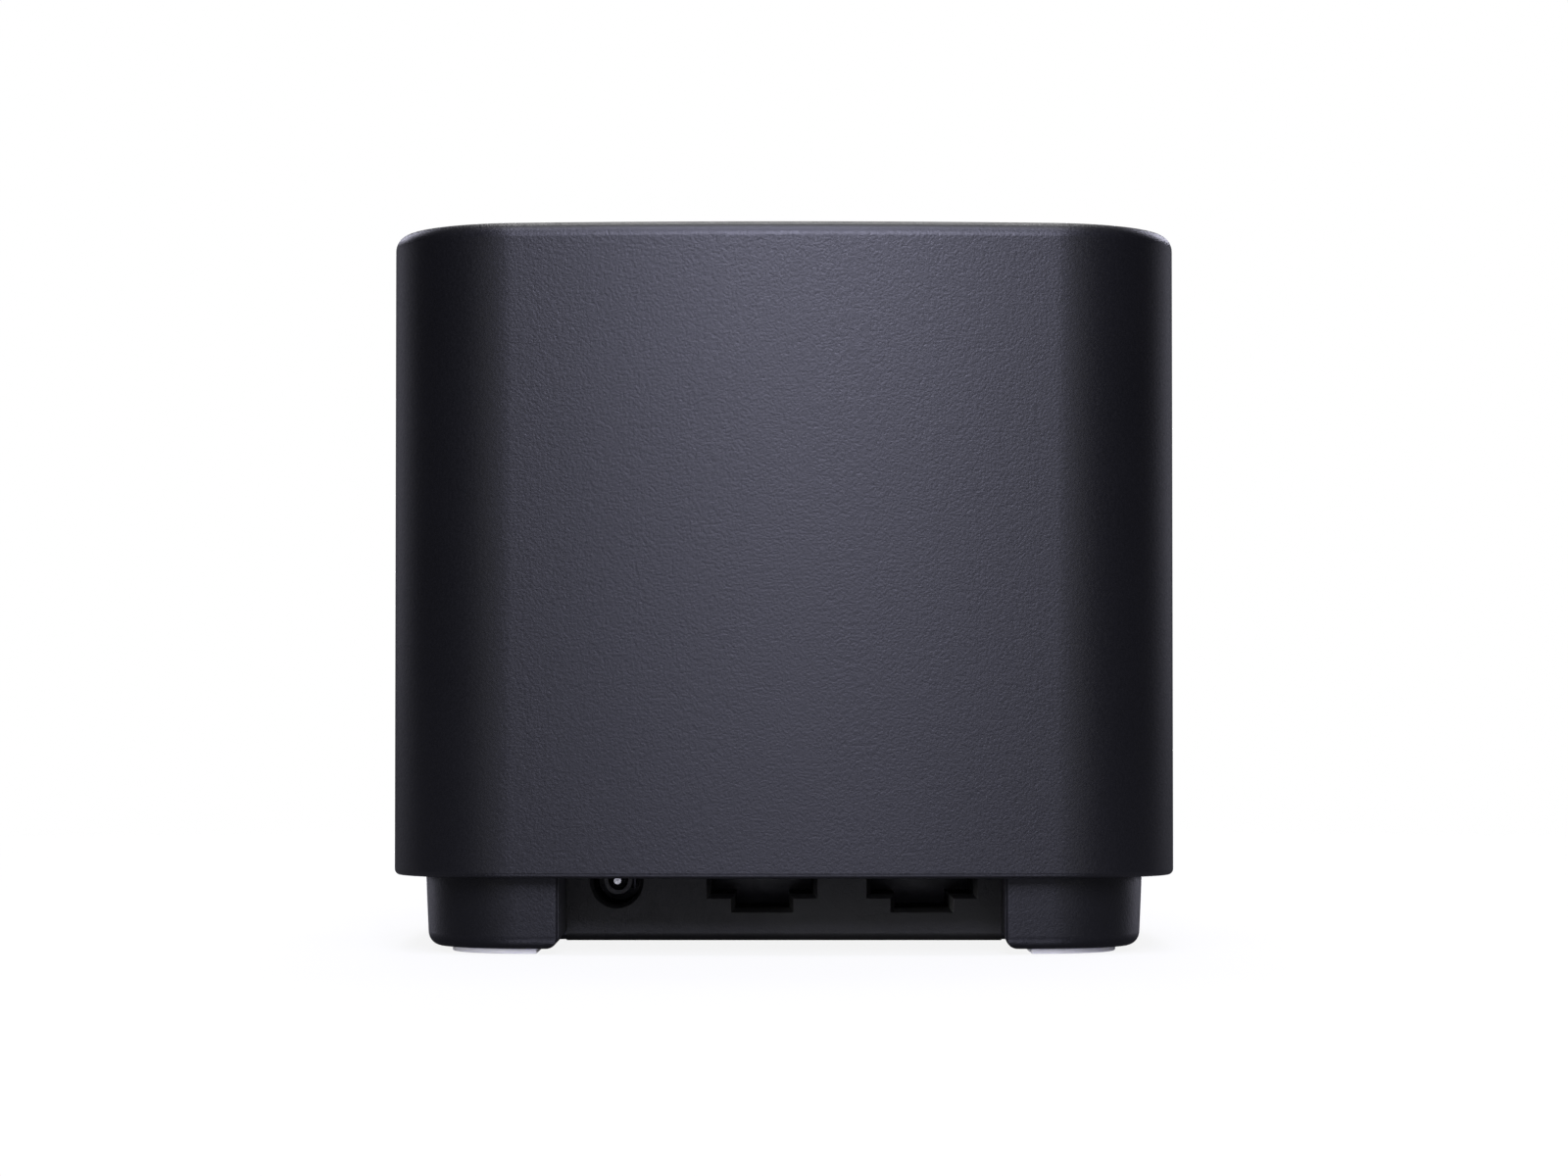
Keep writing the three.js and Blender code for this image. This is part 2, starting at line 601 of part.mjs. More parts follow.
function makeHeatSinks() {
  addSolid('front_heat_sink', heatSink(1, SINK_FRONT_NEAR, 30), ALUMINIUM);
  addSolid('rear_heat_sink', heatSink(-1, SINK_REAR_NEAR, 31), ALUMINIUM);
  const padY = [BOARD_FRONT + 1.6, SINK_FRONT_NEAR - 0.1];
  addMesh('processor_thermal_pad', boxGeometry([-8, 8], padY, [41, 57]), PAD_BLUE);
  const shankR = 1.1;
  const headR = 2.1;
  const headY = SINK_FRONT_NEAR + 2.5;
  const tipY = -SINK_REAR_NEAR - 2;
  sinkScrewPlaces().forEach(([x, z], index) => {
    const profile = [
      new THREE.Vector2(0, tipY),
      new THREE.Vector2(shankR, tipY),
      new THREE.Vector2(shankR, headY),
      new THREE.Vector2(headR, headY),
      new THREE.Vector2(headR, headY + 1.2),
      new THREE.Vector2(0, headY + 1.6),
    ];
    const screw = new THREE.LatheGeometry(profile, 12).translate(x, 0, z);
    addSolid(`heat_sink_screw_${index + 1}`, solid(screw), STEEL);
  });
}

// Flat antenna on each side of the frame, fed by a thin cable from the board's upper edge.
function makeAntennas() {
  const cableRadius = 0.65;
  for (const [side, sign] of [['left', -1], ['right', 1]]) {
    addMesh(`antenna_${side}`, boxGeometry(sided(sign, 36.2, 37.2), [-11, 12], [38, 69]), BOARD_GREEN);
    const route = new THREE.CatmullRomCurve3([
      new THREE.Vector3(sign * 27, -1.6, 67),
      new THREE.Vector3(sign * 28.5, -6, 69),
      new THREE.Vector3(sign * 31.5, -13, 69),
      new THREE.Vector3(sign * 36.4, -17.2, 67),
      new THREE.Vector3(sign * 39.6, -14, 62),
      new THREE.Vector3(sign * 38.4, -7, 56),
    ]);
    const section = new THREE.Shape().absarc(0, 0, cableRadius, 0, 2 * Math.PI);
    const cable = new THREE.ExtrudeGeometry(section, { steps: 24, curveSegments: 4, extrudePath: route });
    addSolid(`antenna_cable_${side}`, solid(cable), CHIP_BLACK);
  }
}

function makeStatusLight() {
  const ledY = [BOARD_FRONT + 0.1, BOARD_FRONT + 2];
  addMesh('status_led', boxGeometry([-1.6, 1.6], ledY, [4.4, 6.2]), LABEL_WHITE);
  const frontFace = HALF_WIDTH - TRAY_INSET_LOW + 0.1;
  const lensBack = frontFace - 3.2;
  const rod = box([-1.8, 1.8], [ledY[1] + GAP, lensBack + 0.2], [4.3, 6.3]);
  const shrink = ([low, high]) => [low + GAP, high - GAP];
  const lens = box(shrink(WINDOW_X), [lensBack, frontFace], shrink(WINDOW_Z));
  addSolid('light_pipe', rod.add(lens), CLEAR_LENS);
}

// Board switch whose plunger points down, with a blind bore that guides the plunger.
function addSwitch(name, x) {
  const half = 3.1;
  const height = 4.2;
  const boreTop = SWITCH_LOW + 2.8;
  const bodyY = [BOARD_FRONT + 0.1, BUTTON_Y + 3];
  const body = box([x - half, x + half], bodyY, [SWITCH_LOW, SWITCH_LOW + height]);
  const bore = rodZ(PLUNGER_R + 0.2, x, BUTTON_Y, [SWITCH_LOW - 1, boreTop], 24);
  addSolid(`${name}_switch`, body.subtract(solid(bore)), CHIP_BLACK);
  addMesh(`${name}_plunger`, rodZ(PLUNGER_R, x, BUTTON_Y, [PLUNGER_LOW, boreTop - 1], 24), LABEL_WHITE);
}

function makeButtons() {
  addSwitch('pairing', PAIRING_X);
  addSwitch('reset', RESET_X);
  const stemR = 2;
  const capRound = 0.3;
  const profile = [
    new THREE.Vector2(0, CAP_LOW),
    new THREE.Vector2(CAP_R - capRound, CAP_LOW),
    new THREE.Vector2(CAP_R, CAP_LOW + capRound),
    new THREE.Vector2(CAP_R, FLOOR_TOP + GAP),
    new THREE.Vector2(CAP_FLANGE_R, FLOOR_TOP + GAP),
    new THREE.Vector2(CAP_FLANGE_R, CAP_FLANGE_TOP),
    new THREE.Vector2(stemR, CAP_FLANGE_TOP),
    new THREE.Vector2(stemR, PLUNGER_LOW - GAP),
    new THREE.Vector2(0, PLUNGER_LOW - GAP),
  ];
  const button = new THREE.LatheGeometry(profile, 32).rotateX(Math.PI / 2).translate(PAIRING_X, BUTTON_Y, 0);
  addSolid('pairing_button', solid(button), DARK_PLASTIC);
}

makeShell();
makeBaseTray();
makePadsAndScrews();
makePortPanel();
makeNetworkSockets();
makePowerInlet();
makeInnerFrame();
makeMainBoard();
makeBoardParts();
makeRadioShields();
makeHeatSinks();
makeAntennas();
makeStatusLight();
makeButtons();

export default node;
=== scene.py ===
import math

import bmesh
import bpy
from mathutils import Matrix, Vector


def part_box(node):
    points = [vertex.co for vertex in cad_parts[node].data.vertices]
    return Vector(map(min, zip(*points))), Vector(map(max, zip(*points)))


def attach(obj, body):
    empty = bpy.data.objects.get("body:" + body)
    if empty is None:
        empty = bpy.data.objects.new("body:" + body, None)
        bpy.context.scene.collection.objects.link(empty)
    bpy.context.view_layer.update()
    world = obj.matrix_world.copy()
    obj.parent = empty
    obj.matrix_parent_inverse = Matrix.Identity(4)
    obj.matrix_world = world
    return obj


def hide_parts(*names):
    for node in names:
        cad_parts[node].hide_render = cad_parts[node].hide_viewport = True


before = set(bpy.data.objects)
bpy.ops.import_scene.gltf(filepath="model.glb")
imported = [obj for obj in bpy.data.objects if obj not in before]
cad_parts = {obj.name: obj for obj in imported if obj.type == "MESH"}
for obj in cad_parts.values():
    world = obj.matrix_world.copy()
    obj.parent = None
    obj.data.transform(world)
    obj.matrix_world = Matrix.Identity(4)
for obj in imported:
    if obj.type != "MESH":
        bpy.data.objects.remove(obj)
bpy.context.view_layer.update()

# ---------------------------------------------------------------- sizes, in metres
MM = 0.001
QUARTER_TURN = math.pi / 2
FULL_TURN = 2 * math.pi
TINY = 0.01 * MM  # a tolerance
PAST = 1 * MM  # how far a cutter reaches past the wall that it opens
SHARP_ANGLE = 30.0  # edges sharper than this many degrees are drawn sharp

SHELL_LOW, SHELL_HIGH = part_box("outer_shell")
BASE_LOW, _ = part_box("base_tray")
PANEL_LOW, PANEL_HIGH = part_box("port_panel")
INLET_LOW, INLET_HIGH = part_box("dc_jack")
HALF_WIDTH = SHELL_HIGH.x
TOP_Z = SHELL_HIGH.z
RIM_Z = SHELL_LOW.z

# The plan of the node: four bulged sides and four corner arcs tangent to them.
SIDE_RADIUS = 300 * MM
CORNER_RADIUS = 15.5 * MM
SIDE_OFFSET = SIDE_RADIUS - HALF_WIDTH
CENTRES_APART = SIDE_RADIUS - CORNER_RADIUS  # from a side arc's centre to a corner arc's
CORNER_CENTRE = (math.sqrt(2 * CENTRES_APART ** 2 - SIDE_OFFSET ** 2) - SIDE_OFFSET) / 2
SIDE_ANGLE = math.atan2(CORNER_CENTRE, CORNER_CENTRE + SIDE_OFFSET)
SIDE_STEPS = 20
CORNER_STEPS = 24
SHORT_STEPS = 6

SHELL_WALL = 2.2 * MM
SHELL_ROOF = 2.5 * MM
SHELL_DRAFT = 0.04 * MM
TOP_ROUND = 1.7 * MM
RIM_ROUND = 0.6 * MM
ROOM_ROUND = 1.2 * MM  # where the shell's inner walls meet its roof

# The tray's side wall stands in from the shell's plan by these insets, at these levels.
TRAY_LOW_Z, TRAY_LOW_INSET = BASE_LOW.z, 3.8 * MM
TRAY_MIDDLE_Z, TRAY_MIDDLE_INSET = 5.5 * MM, 3.65 * MM
FLANGE_Z, TRAY_HIGH_INSET = 9.5 * MM, 3.5 * MM
FLANGE_INSET = 2.6 * MM
TRAY_TOP = 14 * MM
TRAY_FLOOR = 2.2 * MM
TRAY_WALL = 2.0 * MM
TRAY_ROUND = 1.5 * MM
LEG_EDGE_ROUND = 0.4 * MM  # on the legs' upright edges at the bay's mouth
LEAST_ROUND = 0.08 * MM

# Half the cable bay's width at its mouth, between the legs, and at its inner end, by the port wall.
BAY_HALF_MOUTH = 24.7 * MM
BAY_HALF_END = PANEL_HIGH.x + 0.03 * MM
BAY_RIGHT_TRIM = 0.5 * MM  # the right leg stands this much nearer to the middle
BAY_WALL = 1.6 * MM
BAY_ROOF = 15.2 * MM
BAY_START = -39.5 * MM  # the hood over the bay runs from here to its inner end
BAY_END = -17.2 * MM

RESET_HOLE_RADIUS = 1.1 * MM
BUTTON_LIP = 0.5 * MM  # the floor covers this much of the button's flange
DISH_WIDTH = 0.9 * MM  # how far the shallow dish round the button goes out from its hole
DISH_DEPTH = 0.25 * MM
VENTS_PER_SIDE = 4
VENT_FIRST_X = 21 * MM
VENT_PITCH = 3.6 * MM
VENT_HALF = 0.8 * MM
VENT_Y = (12 * MM, 26 * MM)
LABEL_ROUND = 1.3 * MM
LABEL_GAP = 0.3 * MM
LABEL_SEAT_ROUND = 1.5 * MM
LABEL_SEAT_SPARE = 0.1 * MM
LENS_GAP = 0.3 * MM
LENS_WINDOW_HALF = 4.15 * MM
LENS_WINDOW_ROUND = 0.9 * MM
LENS_WINDOW_Y = (30 * MM, 50 * MM)

PAD_INSET = 6.5 * MM
PAD_ROUND = 1.2 * MM
PAD_GAP = 0.15 * MM
PAD_SEAT_TOP = 1.1 * MM

# One network socket's mouth: a rectangle with the latch notch below it.
LAN_HALF = 5.85 * MM
LAN_LOW = 5.9 * MM
LAN_HIGH = 12.83 * MM
LAN_NOTCH_HALF = 3.1 * MM
LAN_NOTCH_LOW = 4.3 * MM
LAN_DEPTH = 13 * MM
LAN_BEVEL = 0.5 * MM
LAN_BEVEL_DEPTH = 0.48 * MM

INLET_CENTRE = ((INLET_LOW.x + INLET_HIGH.x) / 2, (INLET_LOW.z + INLET_HIGH.z) / 2)
INLET_RADIUS = 2.65 * MM
INLET_BEVEL = 0.4 * MM
INLET_DEPTH = 10 * MM
ROUND_STEPS = 64


# ---------------------------------------------------------------- outlines
def arc_points(centre, radius, start, end, steps, with_last=False):
    """Points on an arc, angles in radians. Its last point is left out unless it is asked for."""
    points = []
    for step in range(steps + int(with_last)):
        angle = start + (end - start) * step / steps
        points.append((centre[0] + radius * math.cos(angle), centre[1] + radius * math.sin(angle)))
    return points


def circle_points(centre, radius, steps=ROUND_STEPS):
    return arc_points(centre, radius, 0, FULL_TURN, steps)


def turned(x, y, quarters):
    """The point (x, y) turned about the middle by whole quarter turns."""
    for _ in range(quarters % 4):
        x, y = -y, x
    return x, y


def side_arc(quarters, radius, start=-SIDE_ANGLE, end=SIDE_ANGLE, steps=SIDE_STEPS):
    """The bulged side that faces +X after so many quarter turns; angles count from its middle."""
    turn = quarters * QUARTER_TURN
    return arc_points(turned(-SIDE_OFFSET, 0, quarters), radius, turn + start, turn + end, steps)


def corner_arc(quarters, radius, steps=CORNER_STEPS):
    """The corner that follows that side."""
    turn = quarters * QUARTER_TURN
    centre = turned(CORNER_CENTRE, CORNER_CENTRE, quarters)
    return arc_points(centre, radius, turn + SIDE_ANGLE, turn + QUARTER_TURN - SIDE_ANGLE, steps)


def outline(inset):
    """The node's plan, moved inwards by inset."""
    points = []
    for quarters in range(4):
        points += side_arc(quarters, SIDE_RADIUS - inset) + corner_arc(quarters, CORNER_RADIUS - inset)
    return points


def notched_outline(inset, wall=0.0, shift=0.0):
    """The plan without the cable bay, which wall makes wider; shift moves every edge further in."""
    left_mouth = BAY_HALF_MOUTH + wall + shift
    right_mouth = left_mouth - BAY_RIGHT_TRIM
    end = BAY_HALF_END + wall + shift
    leg_round = max(LEG_EDGE_ROUND - shift, LEAST_ROUND)
    reach = SIDE_RADIUS - inset - shift
    corner_radius = CORNER_RADIUS - inset - shift

    def leg_arc(mouth):
        """Centre of the small round on a leg's inner edge, and where it meets the rear side."""
        x = mouth + leg_round
        y = SIDE_OFFSET - math.sqrt((reach - leg_round) ** 2 - x ** 2)
        return x, y, math.atan2(y - SIDE_OFFSET, x)

    left_x, left_y, left_start = leg_arc(left_mouth)
    right_x, right_y, right_start = leg_arc(right_mouth)
    points = arc_points((right_x, right_y), leg_round, math.pi, FULL_TURN + right_start, SHORT_STEPS)
    points += side_arc(-1, reach, right_start + QUARTER_TURN, SIDE_ANGLE, SHORT_STEPS)
    points += corner_arc(-1, corner_radius)
    for quarters in range(3):
        points += side_arc(quarters, reach) + corner_arc(quarters, corner_radius)
    points += side_arc(3, reach, -SIDE_ANGLE, -QUARTER_TURN - left_start, SHORT_STEPS)
    points += arc_points((-left_x, left_y), leg_round, math.pi - left_start, FULL_TURN, SHORT_STEPS)
    return points + [(-left_mouth, left_y), (-end, BAY_END + shift), (end, BAY_END + shift)]


def rounded_rectangle(x_low, x_high, y_low, y_high, radius, steps=SHORT_STEPS):
    centres = ((x_high - radius, y_low + radius), (x_high - radius, y_high - radius),
               (x_low + radius, y_high - radius), (x_low + radius, y_low + radius))
    points = []
    for quarters, centre in enumerate(centres, -1):
        start = quarters * QUARTER_TURN
        points += arc_points(centre, radius, start, start + QUARTER_TURN, steps, with_last=True)
    return points


def round_profile(inset, z, radius, up, steps):
    """(inset, z) pairs of a quarter-round that ends a wall at level z, from the wall to the flat."""
    pairs = []
    for step in range(steps + 1):
        angle = step / steps * QUARTER_TURN
        drop = radius * (1 - math.cos(angle))
        rise = radius * math.sin(angle)
        pairs.append((inset + drop, z - radius + rise if up else z + radius - rise))
    return pairs


# ---------------------------------------------------------------- mesh helpers
def new_object(name, bm, smooth_angle=SHARP_ANGLE):
    """Object from a bmesh, smooth apart from edges sharper than smooth_angle degrees."""
    bmesh.ops.recalc_face_normals(bm, faces=bm.faces)
    mesh = bpy.data.meshes.new(name)
    bm.to_mesh(mesh)
    bm.free()
    mesh.shade_smooth()
    mesh.set_sharp_from_angle(angle=math.radians(smooth_angle))
    obj = bpy.data.objects.new(name, mesh)
    bpy.context.collection.objects.link(obj)
    return obj


def join_rings(bm, low, high):
    """Strip of faces between two rings of as many vertices."""
    count = len(low)
    for i in range(count):
        j = (i + 1) % count
        bm.faces.new((low[i], low[j], high[j], high[i]))


def join_all(bm, rings):
    for low, high in zip(rings, rings[1:]):
        join_rings(bm, low, high)


def close_ends(bm, rings, upwards=False):
    """Closes the first and the last ring. Level rings, stacked upwards, are wound the other way round."""
    first, last = rings[0], rings[-1]
    for end in (first[::-1], last) if upwards else (first, last[::-1]):
        bm.faces.new(end)


def solid_of(rings, upwards=False):
    """Closed bmesh through rings of equal length, each a list of places."""
    bm = bmesh.new()
    made = [[bm.verts.new(place) for place in ring] for ring in rings]
    join_all(bm, made)
    close_ends(bm, made, upwards)
    return bm


def level(points, z):
    """An outline in X and Y, at one height."""
    return [(x, y, z) for x, y in points]


def upright(points, y):
    """An outline in X and Z, at one depth."""
    return [(x, y, z) for x, z in points]


def prism_z(points, z_low, z_high):
    return solid_of([level(points, z_low), level(points, z_high)], upwards=True)


def prism_y(points, y_low, y_high):
    return tapered_y(points, points, y_low, y_high)


def tapered_y(near_points, far_points, y_near, y_far):
    """Closed solid between two upright outlines of equal length."""
    return solid_of([upright(near_points, y_near), upright(far_points, y_far)])


def cap_with_rings(bm, ring, z):
    """Closes a ring by smaller copies of it and a point in the middle."""
    previous = ring
    for share in (0.92, 0.75, 0.5, 0.25):
        inner = [bm.verts.new((v.co.x * share, v.co.y * share, z)) for v in ring]
        join_rings(bm, previous, inner)
        previous = inner
    middle = bm.verts.new((0, 0, z))
    count = len(previous)
    for i in range(count):
        bm.faces.new((previous[i], previous[(i + 1) % count], middle))


def box_mesh(low, high):
    bm = bmesh.new()
    bmesh.ops.create_cube(bm, size=1)
    bmesh.ops.scale(bm, vec=Vector(high) - Vector(low), verts=bm.verts)
    bmesh.ops.translate(bm, vec=(Vector(high) + Vector(low)) / 2, verts=bm.verts)
    return bm


def revolve(name, profile, centre, axis, steps, smooth_angle=35.0):
    """Turned piece: profile is (radius, height) pairs, and axis is Y or Z."""
    bm = bmesh.new()
    rings = []
    for radius, height in profile:
        points = circle_points((0, 0), radius, steps) if radius else [(0, 0)]
        rings.append([bm.verts.new(place) for place in level(points, height)])
    for low, high in zip(rings, rings[1:]):
        for i in range(steps):
            j = (i + 1) % steps
            corners = [low[i % len(low)], low[j % len(low)], high[j % len(high)], high[i % len(high)]]
            unique = list(dict.fromkeys(corners))
            if len(unique) > 2:
                bm.faces.new(unique)
    if axis == "Y":
        bmesh.ops.rotate(bm, verts=bm.verts, matrix=Matrix.Rotation(-QUARTER_TURN, 3, "X"))
    bmesh.ops.translate(bm, vec=Vector(centre), verts=bm.verts)
    return new_object(name, bm, smooth_angle)


def cut(obj, bms, operation="DIFFERENCE"):
    """Cuts or joins closed bmeshes with obj and applies the result."""
    for bm in bms:
        tool = new_object("tool", bm)
        modifier = obj.modifiers.new("cut", "BOOLEAN")
        modifier.operation = operation
        modifier.solver = "EXACT"
        modifier.object = tool
        graph = bpy.context.evaluated_depsgraph_get()
        mesh = bpy.data.meshes.new_from_object(obj.evaluated_get(graph))
        obj.modifiers.clear()
        old = obj.data
        obj.data = mesh
        bpy.data.meshes.remove(old)
        bpy.data.objects.remove(tool)
    obj.data.shade_smooth()
    obj.data.set_sharp_from_angle(angle=math.radians(SHARP_ANGLE))


def weight_normals(obj):
    """Keeps flat faces flat beside rounded edges."""
    obj.modifiers.new("normals", "WEIGHTED_NORMAL").keep_sharp = True


def soften(obj, width, segments, angle=35.0):
    """Rounds the edges sharper than angle degrees."""
    bevel = obj.modifiers.new("edges", "BEVEL")
    bevel.width = width
    bevel.segments = segments
    bevel.limit_method = "ANGLE"
    bevel.angle_limit = math.radians(angle)
    weight_normals(obj)


def use_second_material(obj, material, wanted):
    """Gives a second material to the faces for which wanted(face) is true."""
    obj.data.materials.append(material)
    for face in obj.data.polygons:
        if wanted(face):
            face.material_index = 1


# ---------------------------------------------------------------- materials
def new_material(name):
    material = bpy.data.materials.new(name)
    material.use_nodes = True
    tree = material.node_tree
    return material, tree, tree.nodes["Principled BSDF"]


def add_noise(tree, scale, detail=2.0, roughness=0.5, stretch=None):
    """Noise over the piece's own coordinates; scale is in waves per metre."""
    nodes, links = tree.nodes, tree.links
    place = nodes.new("ShaderNodeTexCoord")
    noise = nodes.new("ShaderNodeTexNoise")
    noise.inputs["Scale"].default_value = scale
    noise.inputs["Detail"].default_value = detail
    noise.inputs["Roughness"].default_value = roughness
    source = place.outputs["Object"]
    if stretch:
        mapping = nodes.new("ShaderNodeMapping")
        mapping.inputs["Scale"].default_value = stretch
        links.new(source, mapping.inputs["Vector"])
        source = mapping.outputs["Vector"]
    links.new(source, noise.inputs["Vector"])
    return noise.outputs["Fac"]


def add_ramp(tree, source, low, high, low_at=0.3, high_at=0.7):
    ramp = tree.nodes.new("ShaderNodeMapRange")
    ramp.inputs["From Min"].default_value = low_at
    ramp.inputs["From Max"].default_value = high_at
    ramp.inputs["To Min"].default_value = low
    ramp.inputs["To Max"].default_value = high
    tree.links.new(source, ramp.inputs["Value"])
    return ramp.outputs["Result"]


def add_tint(tree, source, colour_a, colour_b):
    mix = tree.nodes.new("ShaderNodeMix")
    mix.data_type = "RGBA"
    mix.inputs["A"].default_value = (*colour_a, 1)
    mix.inputs["B"].default_value = (*colour_b, 1)
    tree.links.new(source, mix.inputs["Factor"])
    return mix.outputs["Result"]


def add_bump(tree, shader, height, strength, distance, previous=None):
    bump = tree.nodes.new("ShaderNodeBump")
    bump.inputs["Strength"].default_value = strength
    bump.inputs["Distance"].default_value = distance
    tree.links.new(height, bump.inputs["Height"])
    if previous is not None:
        tree.links.new(previous, bump.inputs["Normal"])
    tree.links.new(bump.outputs["Normal"], shader.inputs["Normal"])
    return bump.outputs["Normal"]


def moulded_plastic(name, colour, roughness, grain=3400.0, depth=0.02 * MM, strength=0.6, spread=0.25,
                    specular=0.5):
    """Moulded plastic: spark-eroded grain, slight unevenness of tone, gloss that follows the grain."""
    material, tree, shader = new_material(name)
    shader.inputs["Specular IOR Level"].default_value = specular
    patches = add_noise(tree, 60.0, 3.0)
    dark = tuple(c * (1 - spread) for c in colour)
    light = tuple(c * (1 + spread) for c in colour)
    tree.links.new(add_tint(tree, patches, dark, light), shader.inputs["Base Color"])
    grains = add_noise(tree, grain, 3.0, 0.6)
    rough = add_ramp(tree, grains, roughness - 0.05, roughness + 0.06)
    tree.links.new(rough, shader.inputs["Roughness"])
    coarse = add_noise(tree, grain * 0.4, 2.0, 0.5)
    first = add_bump(tree, shader, coarse, strength * 0.3, depth)
    add_bump(tree, shader, grains, strength, depth, first)
    return material


def brushed_metal(name, colour, roughness, along="Z"):
    """Metal with streaks along one axis, which show in its gloss and its surface."""
    material, tree, shader = new_material(name)
    shader.inputs["Metallic"].default_value = 1.0
    stretch = {"Y": (1, 0.05, 1), "Z": (1, 1, 0.05)}[along]
    streaks = add_noise(tree, 4000.0, 3.0, 0.6, stretch)
    patches = add_noise(tree, 220.0, 2.0)
    dark = tuple(c * 0.86 for c in colour)
    tree.links.new(add_tint(tree, patches, dark, colour), shader.inputs["Base Color"])
    tree.links.new(add_ramp(tree, streaks, roughness - 0.08, roughness + 0.12), shader.inputs["Roughness"])
    add_bump(tree, shader, streaks, 0.35, 0.01 * MM)
    return material


def soft_rubber(name, colour, roughness=0.55, translucency=0.15):
    """Matte rubber or gel that lets a little light through."""
    material, tree, shader = new_material(name)
    patches = add_noise(tree, 900.0, 3.0)
    dark = tuple(c * 0.93 for c in colour)
    tree.links.new(add_tint(tree, patches, dark, colour), shader.inputs["Base Color"])
    tree.links.new(add_ramp(tree, patches, roughness - 0.06, roughness + 0.06), shader.inputs["Roughness"])
    shader.inputs["Subsurface Weight"].default_value = translucency
    shader.inputs["Subsurface Radius"].default_value = (1.0 * MM, 1.0 * MM, 1.2 * MM)
    add_bump(tree, shader, add_noise(tree, 5000.0, 2.0), 0.25, 0.01 * MM)
    return material


def board_laminate(name):
    """Solder mask over copper: lighter tracks between darker fields, and a fine weave."""
    material, tree, shader = new_material(name)
    nodes, links = tree.nodes, tree.links
    place = nodes.new("ShaderNodeTexCoord")
    tracks = nodes.new("ShaderNodeTexBrick")
    tracks.inputs["Scale"].default_value = 260.0
    tracks.inputs["Mortar Size"].default_value = 0.03
    tracks.inputs["Color1"].default_value = (0.008, 0.06, 0.028, 1)
    tracks.inputs["Color2"].default_value = (0.012, 0.085, 0.04, 1)
    tracks.inputs["Mortar"].default_value = (0.02, 0.16, 0.07, 1)
    mapping = nodes.new("ShaderNodeMapping")
    mapping.inputs["Rotation"].default_value = (QUARTER_TURN, 0, 0)
    links.new(place.outputs["Object"], mapping.inputs["Vector"])
    links.new(mapping.outputs["Vector"], tracks.inputs["Vector"])
    links.new(tracks.outputs["Color"], shader.inputs["Base Color"])
    links.new(add_ramp(tree, add_noise(tree, 400.0), 0.28, 0.42), shader.inputs["Roughness"])
    first = add_bump(tree, shader, tracks.outputs["Fac"], 0.4, 0.03 * MM)
    add_bump(tree, shader, add_noise(tree, 3000.0), 0.2, 0.01 * MM, first)
    shader.inputs["Coat Weight"].default_value = 0.3
    return material


def frosted_lens(name):
    """Clouded clear plastic."""
    material, tree, shader = new_material(name)
    shader.inputs["Transmission Weight"].default_value = 0.55
    shader.inputs["IOR"].default_value = 1.49
    fog = add_noise(tree, 700.0, 3.0)
    tree.links.new(add_tint(tree, fog, (0.78, 0.8, 0.83), (0.9, 0.92, 0.95)), shader.inputs["Base Color"])
    tree.links.new(add_ramp(tree, fog, 0.3, 0.45), shader.inputs["Roughness"])
    add_bump(tree, shader, add_noise(tree, 4500.0), 0.2, 0.01 * MM)
    return material


SHELL_BLACK = moulded_plastic("shell_black", (0.0055, 0.0055, 0.0062), 0.38, depth=0.048 * MM)
TOP_BLACK = moulded_plastic("top_black", (0.0075, 0.0075, 0.0082), 0.66, depth=0.048 * MM, specular=0.3)
BASE_BLACK = moulded_plastic("base_black", (0.0060, 0.0060, 0.0066), 0.40, depth=0.055 * MM)
# Painted fill light: the base plastic made four times lighter, so the port wall lying in shade under the
# shell reads brighter. The pairing cap shares it.
PANEL_PAINTED_FILL_BLACK = moulded_plastic("panel_painted_fill_black", (0.0240, 0.0240, 0.0244), 0.43, depth=0.055 * MM)
# Painted light: the base plastic made twenty times lighter for the cable bay's side walls, in place of the
# light bounced into the bay.
BAY_SIDE_PAINTED_LIGHT = moulded_plastic("bay_side_painted_light", (0.120, 0.120, 0.122), 0.50, depth=0.04 * MM)
SOCKET_BLACK = moulded_plastic("socket_black", (0.012, 0.012, 0.012), 0.38, grain=1500.0, strength=0.25)
# Painted light: the socket plastic made eight times lighter, so the sleeve shows as a pale ring round the pin
# in the dark bore.
SLEEVE_PAINTED_LIGHT_GREY = moulded_plastic("sleeve_painted_light_grey", (0.10, 0.10, 0.105), 0.4, grain=1500.0, strength=0.25)
PAD_GREY = soft_rubber("pad_grey", (0.93, 0.92, 0.96))
FRAME_GREY = moulded_plastic("frame_grey", (0.05, 0.05, 0.055), 0.5, grain=1800.0)
BOARD_GREEN = board_laminate("board_green")
CHIP_BLACK = moulded_plastic("chip_black", (0.012, 0.012, 0.013), 0.42, grain=5000.0, depth=0.008 * MM)
CABLE_BLACK = moulded_plastic("cable_black", (0.012, 0.012, 0.012), 0.4, grain=1200.0, strength=0.3)
SINK_METAL = brushed_metal("sink_metal", (0.62, 0.63, 0.65), 0.34)
STEEL = brushed_metal("plated_steel", (0.58, 0.58, 0.59), 0.26, "Y")
PIN_STEEL = brushed_metal("pin_steel", (0.88, 0.88, 0.89), 0.30, "Y")
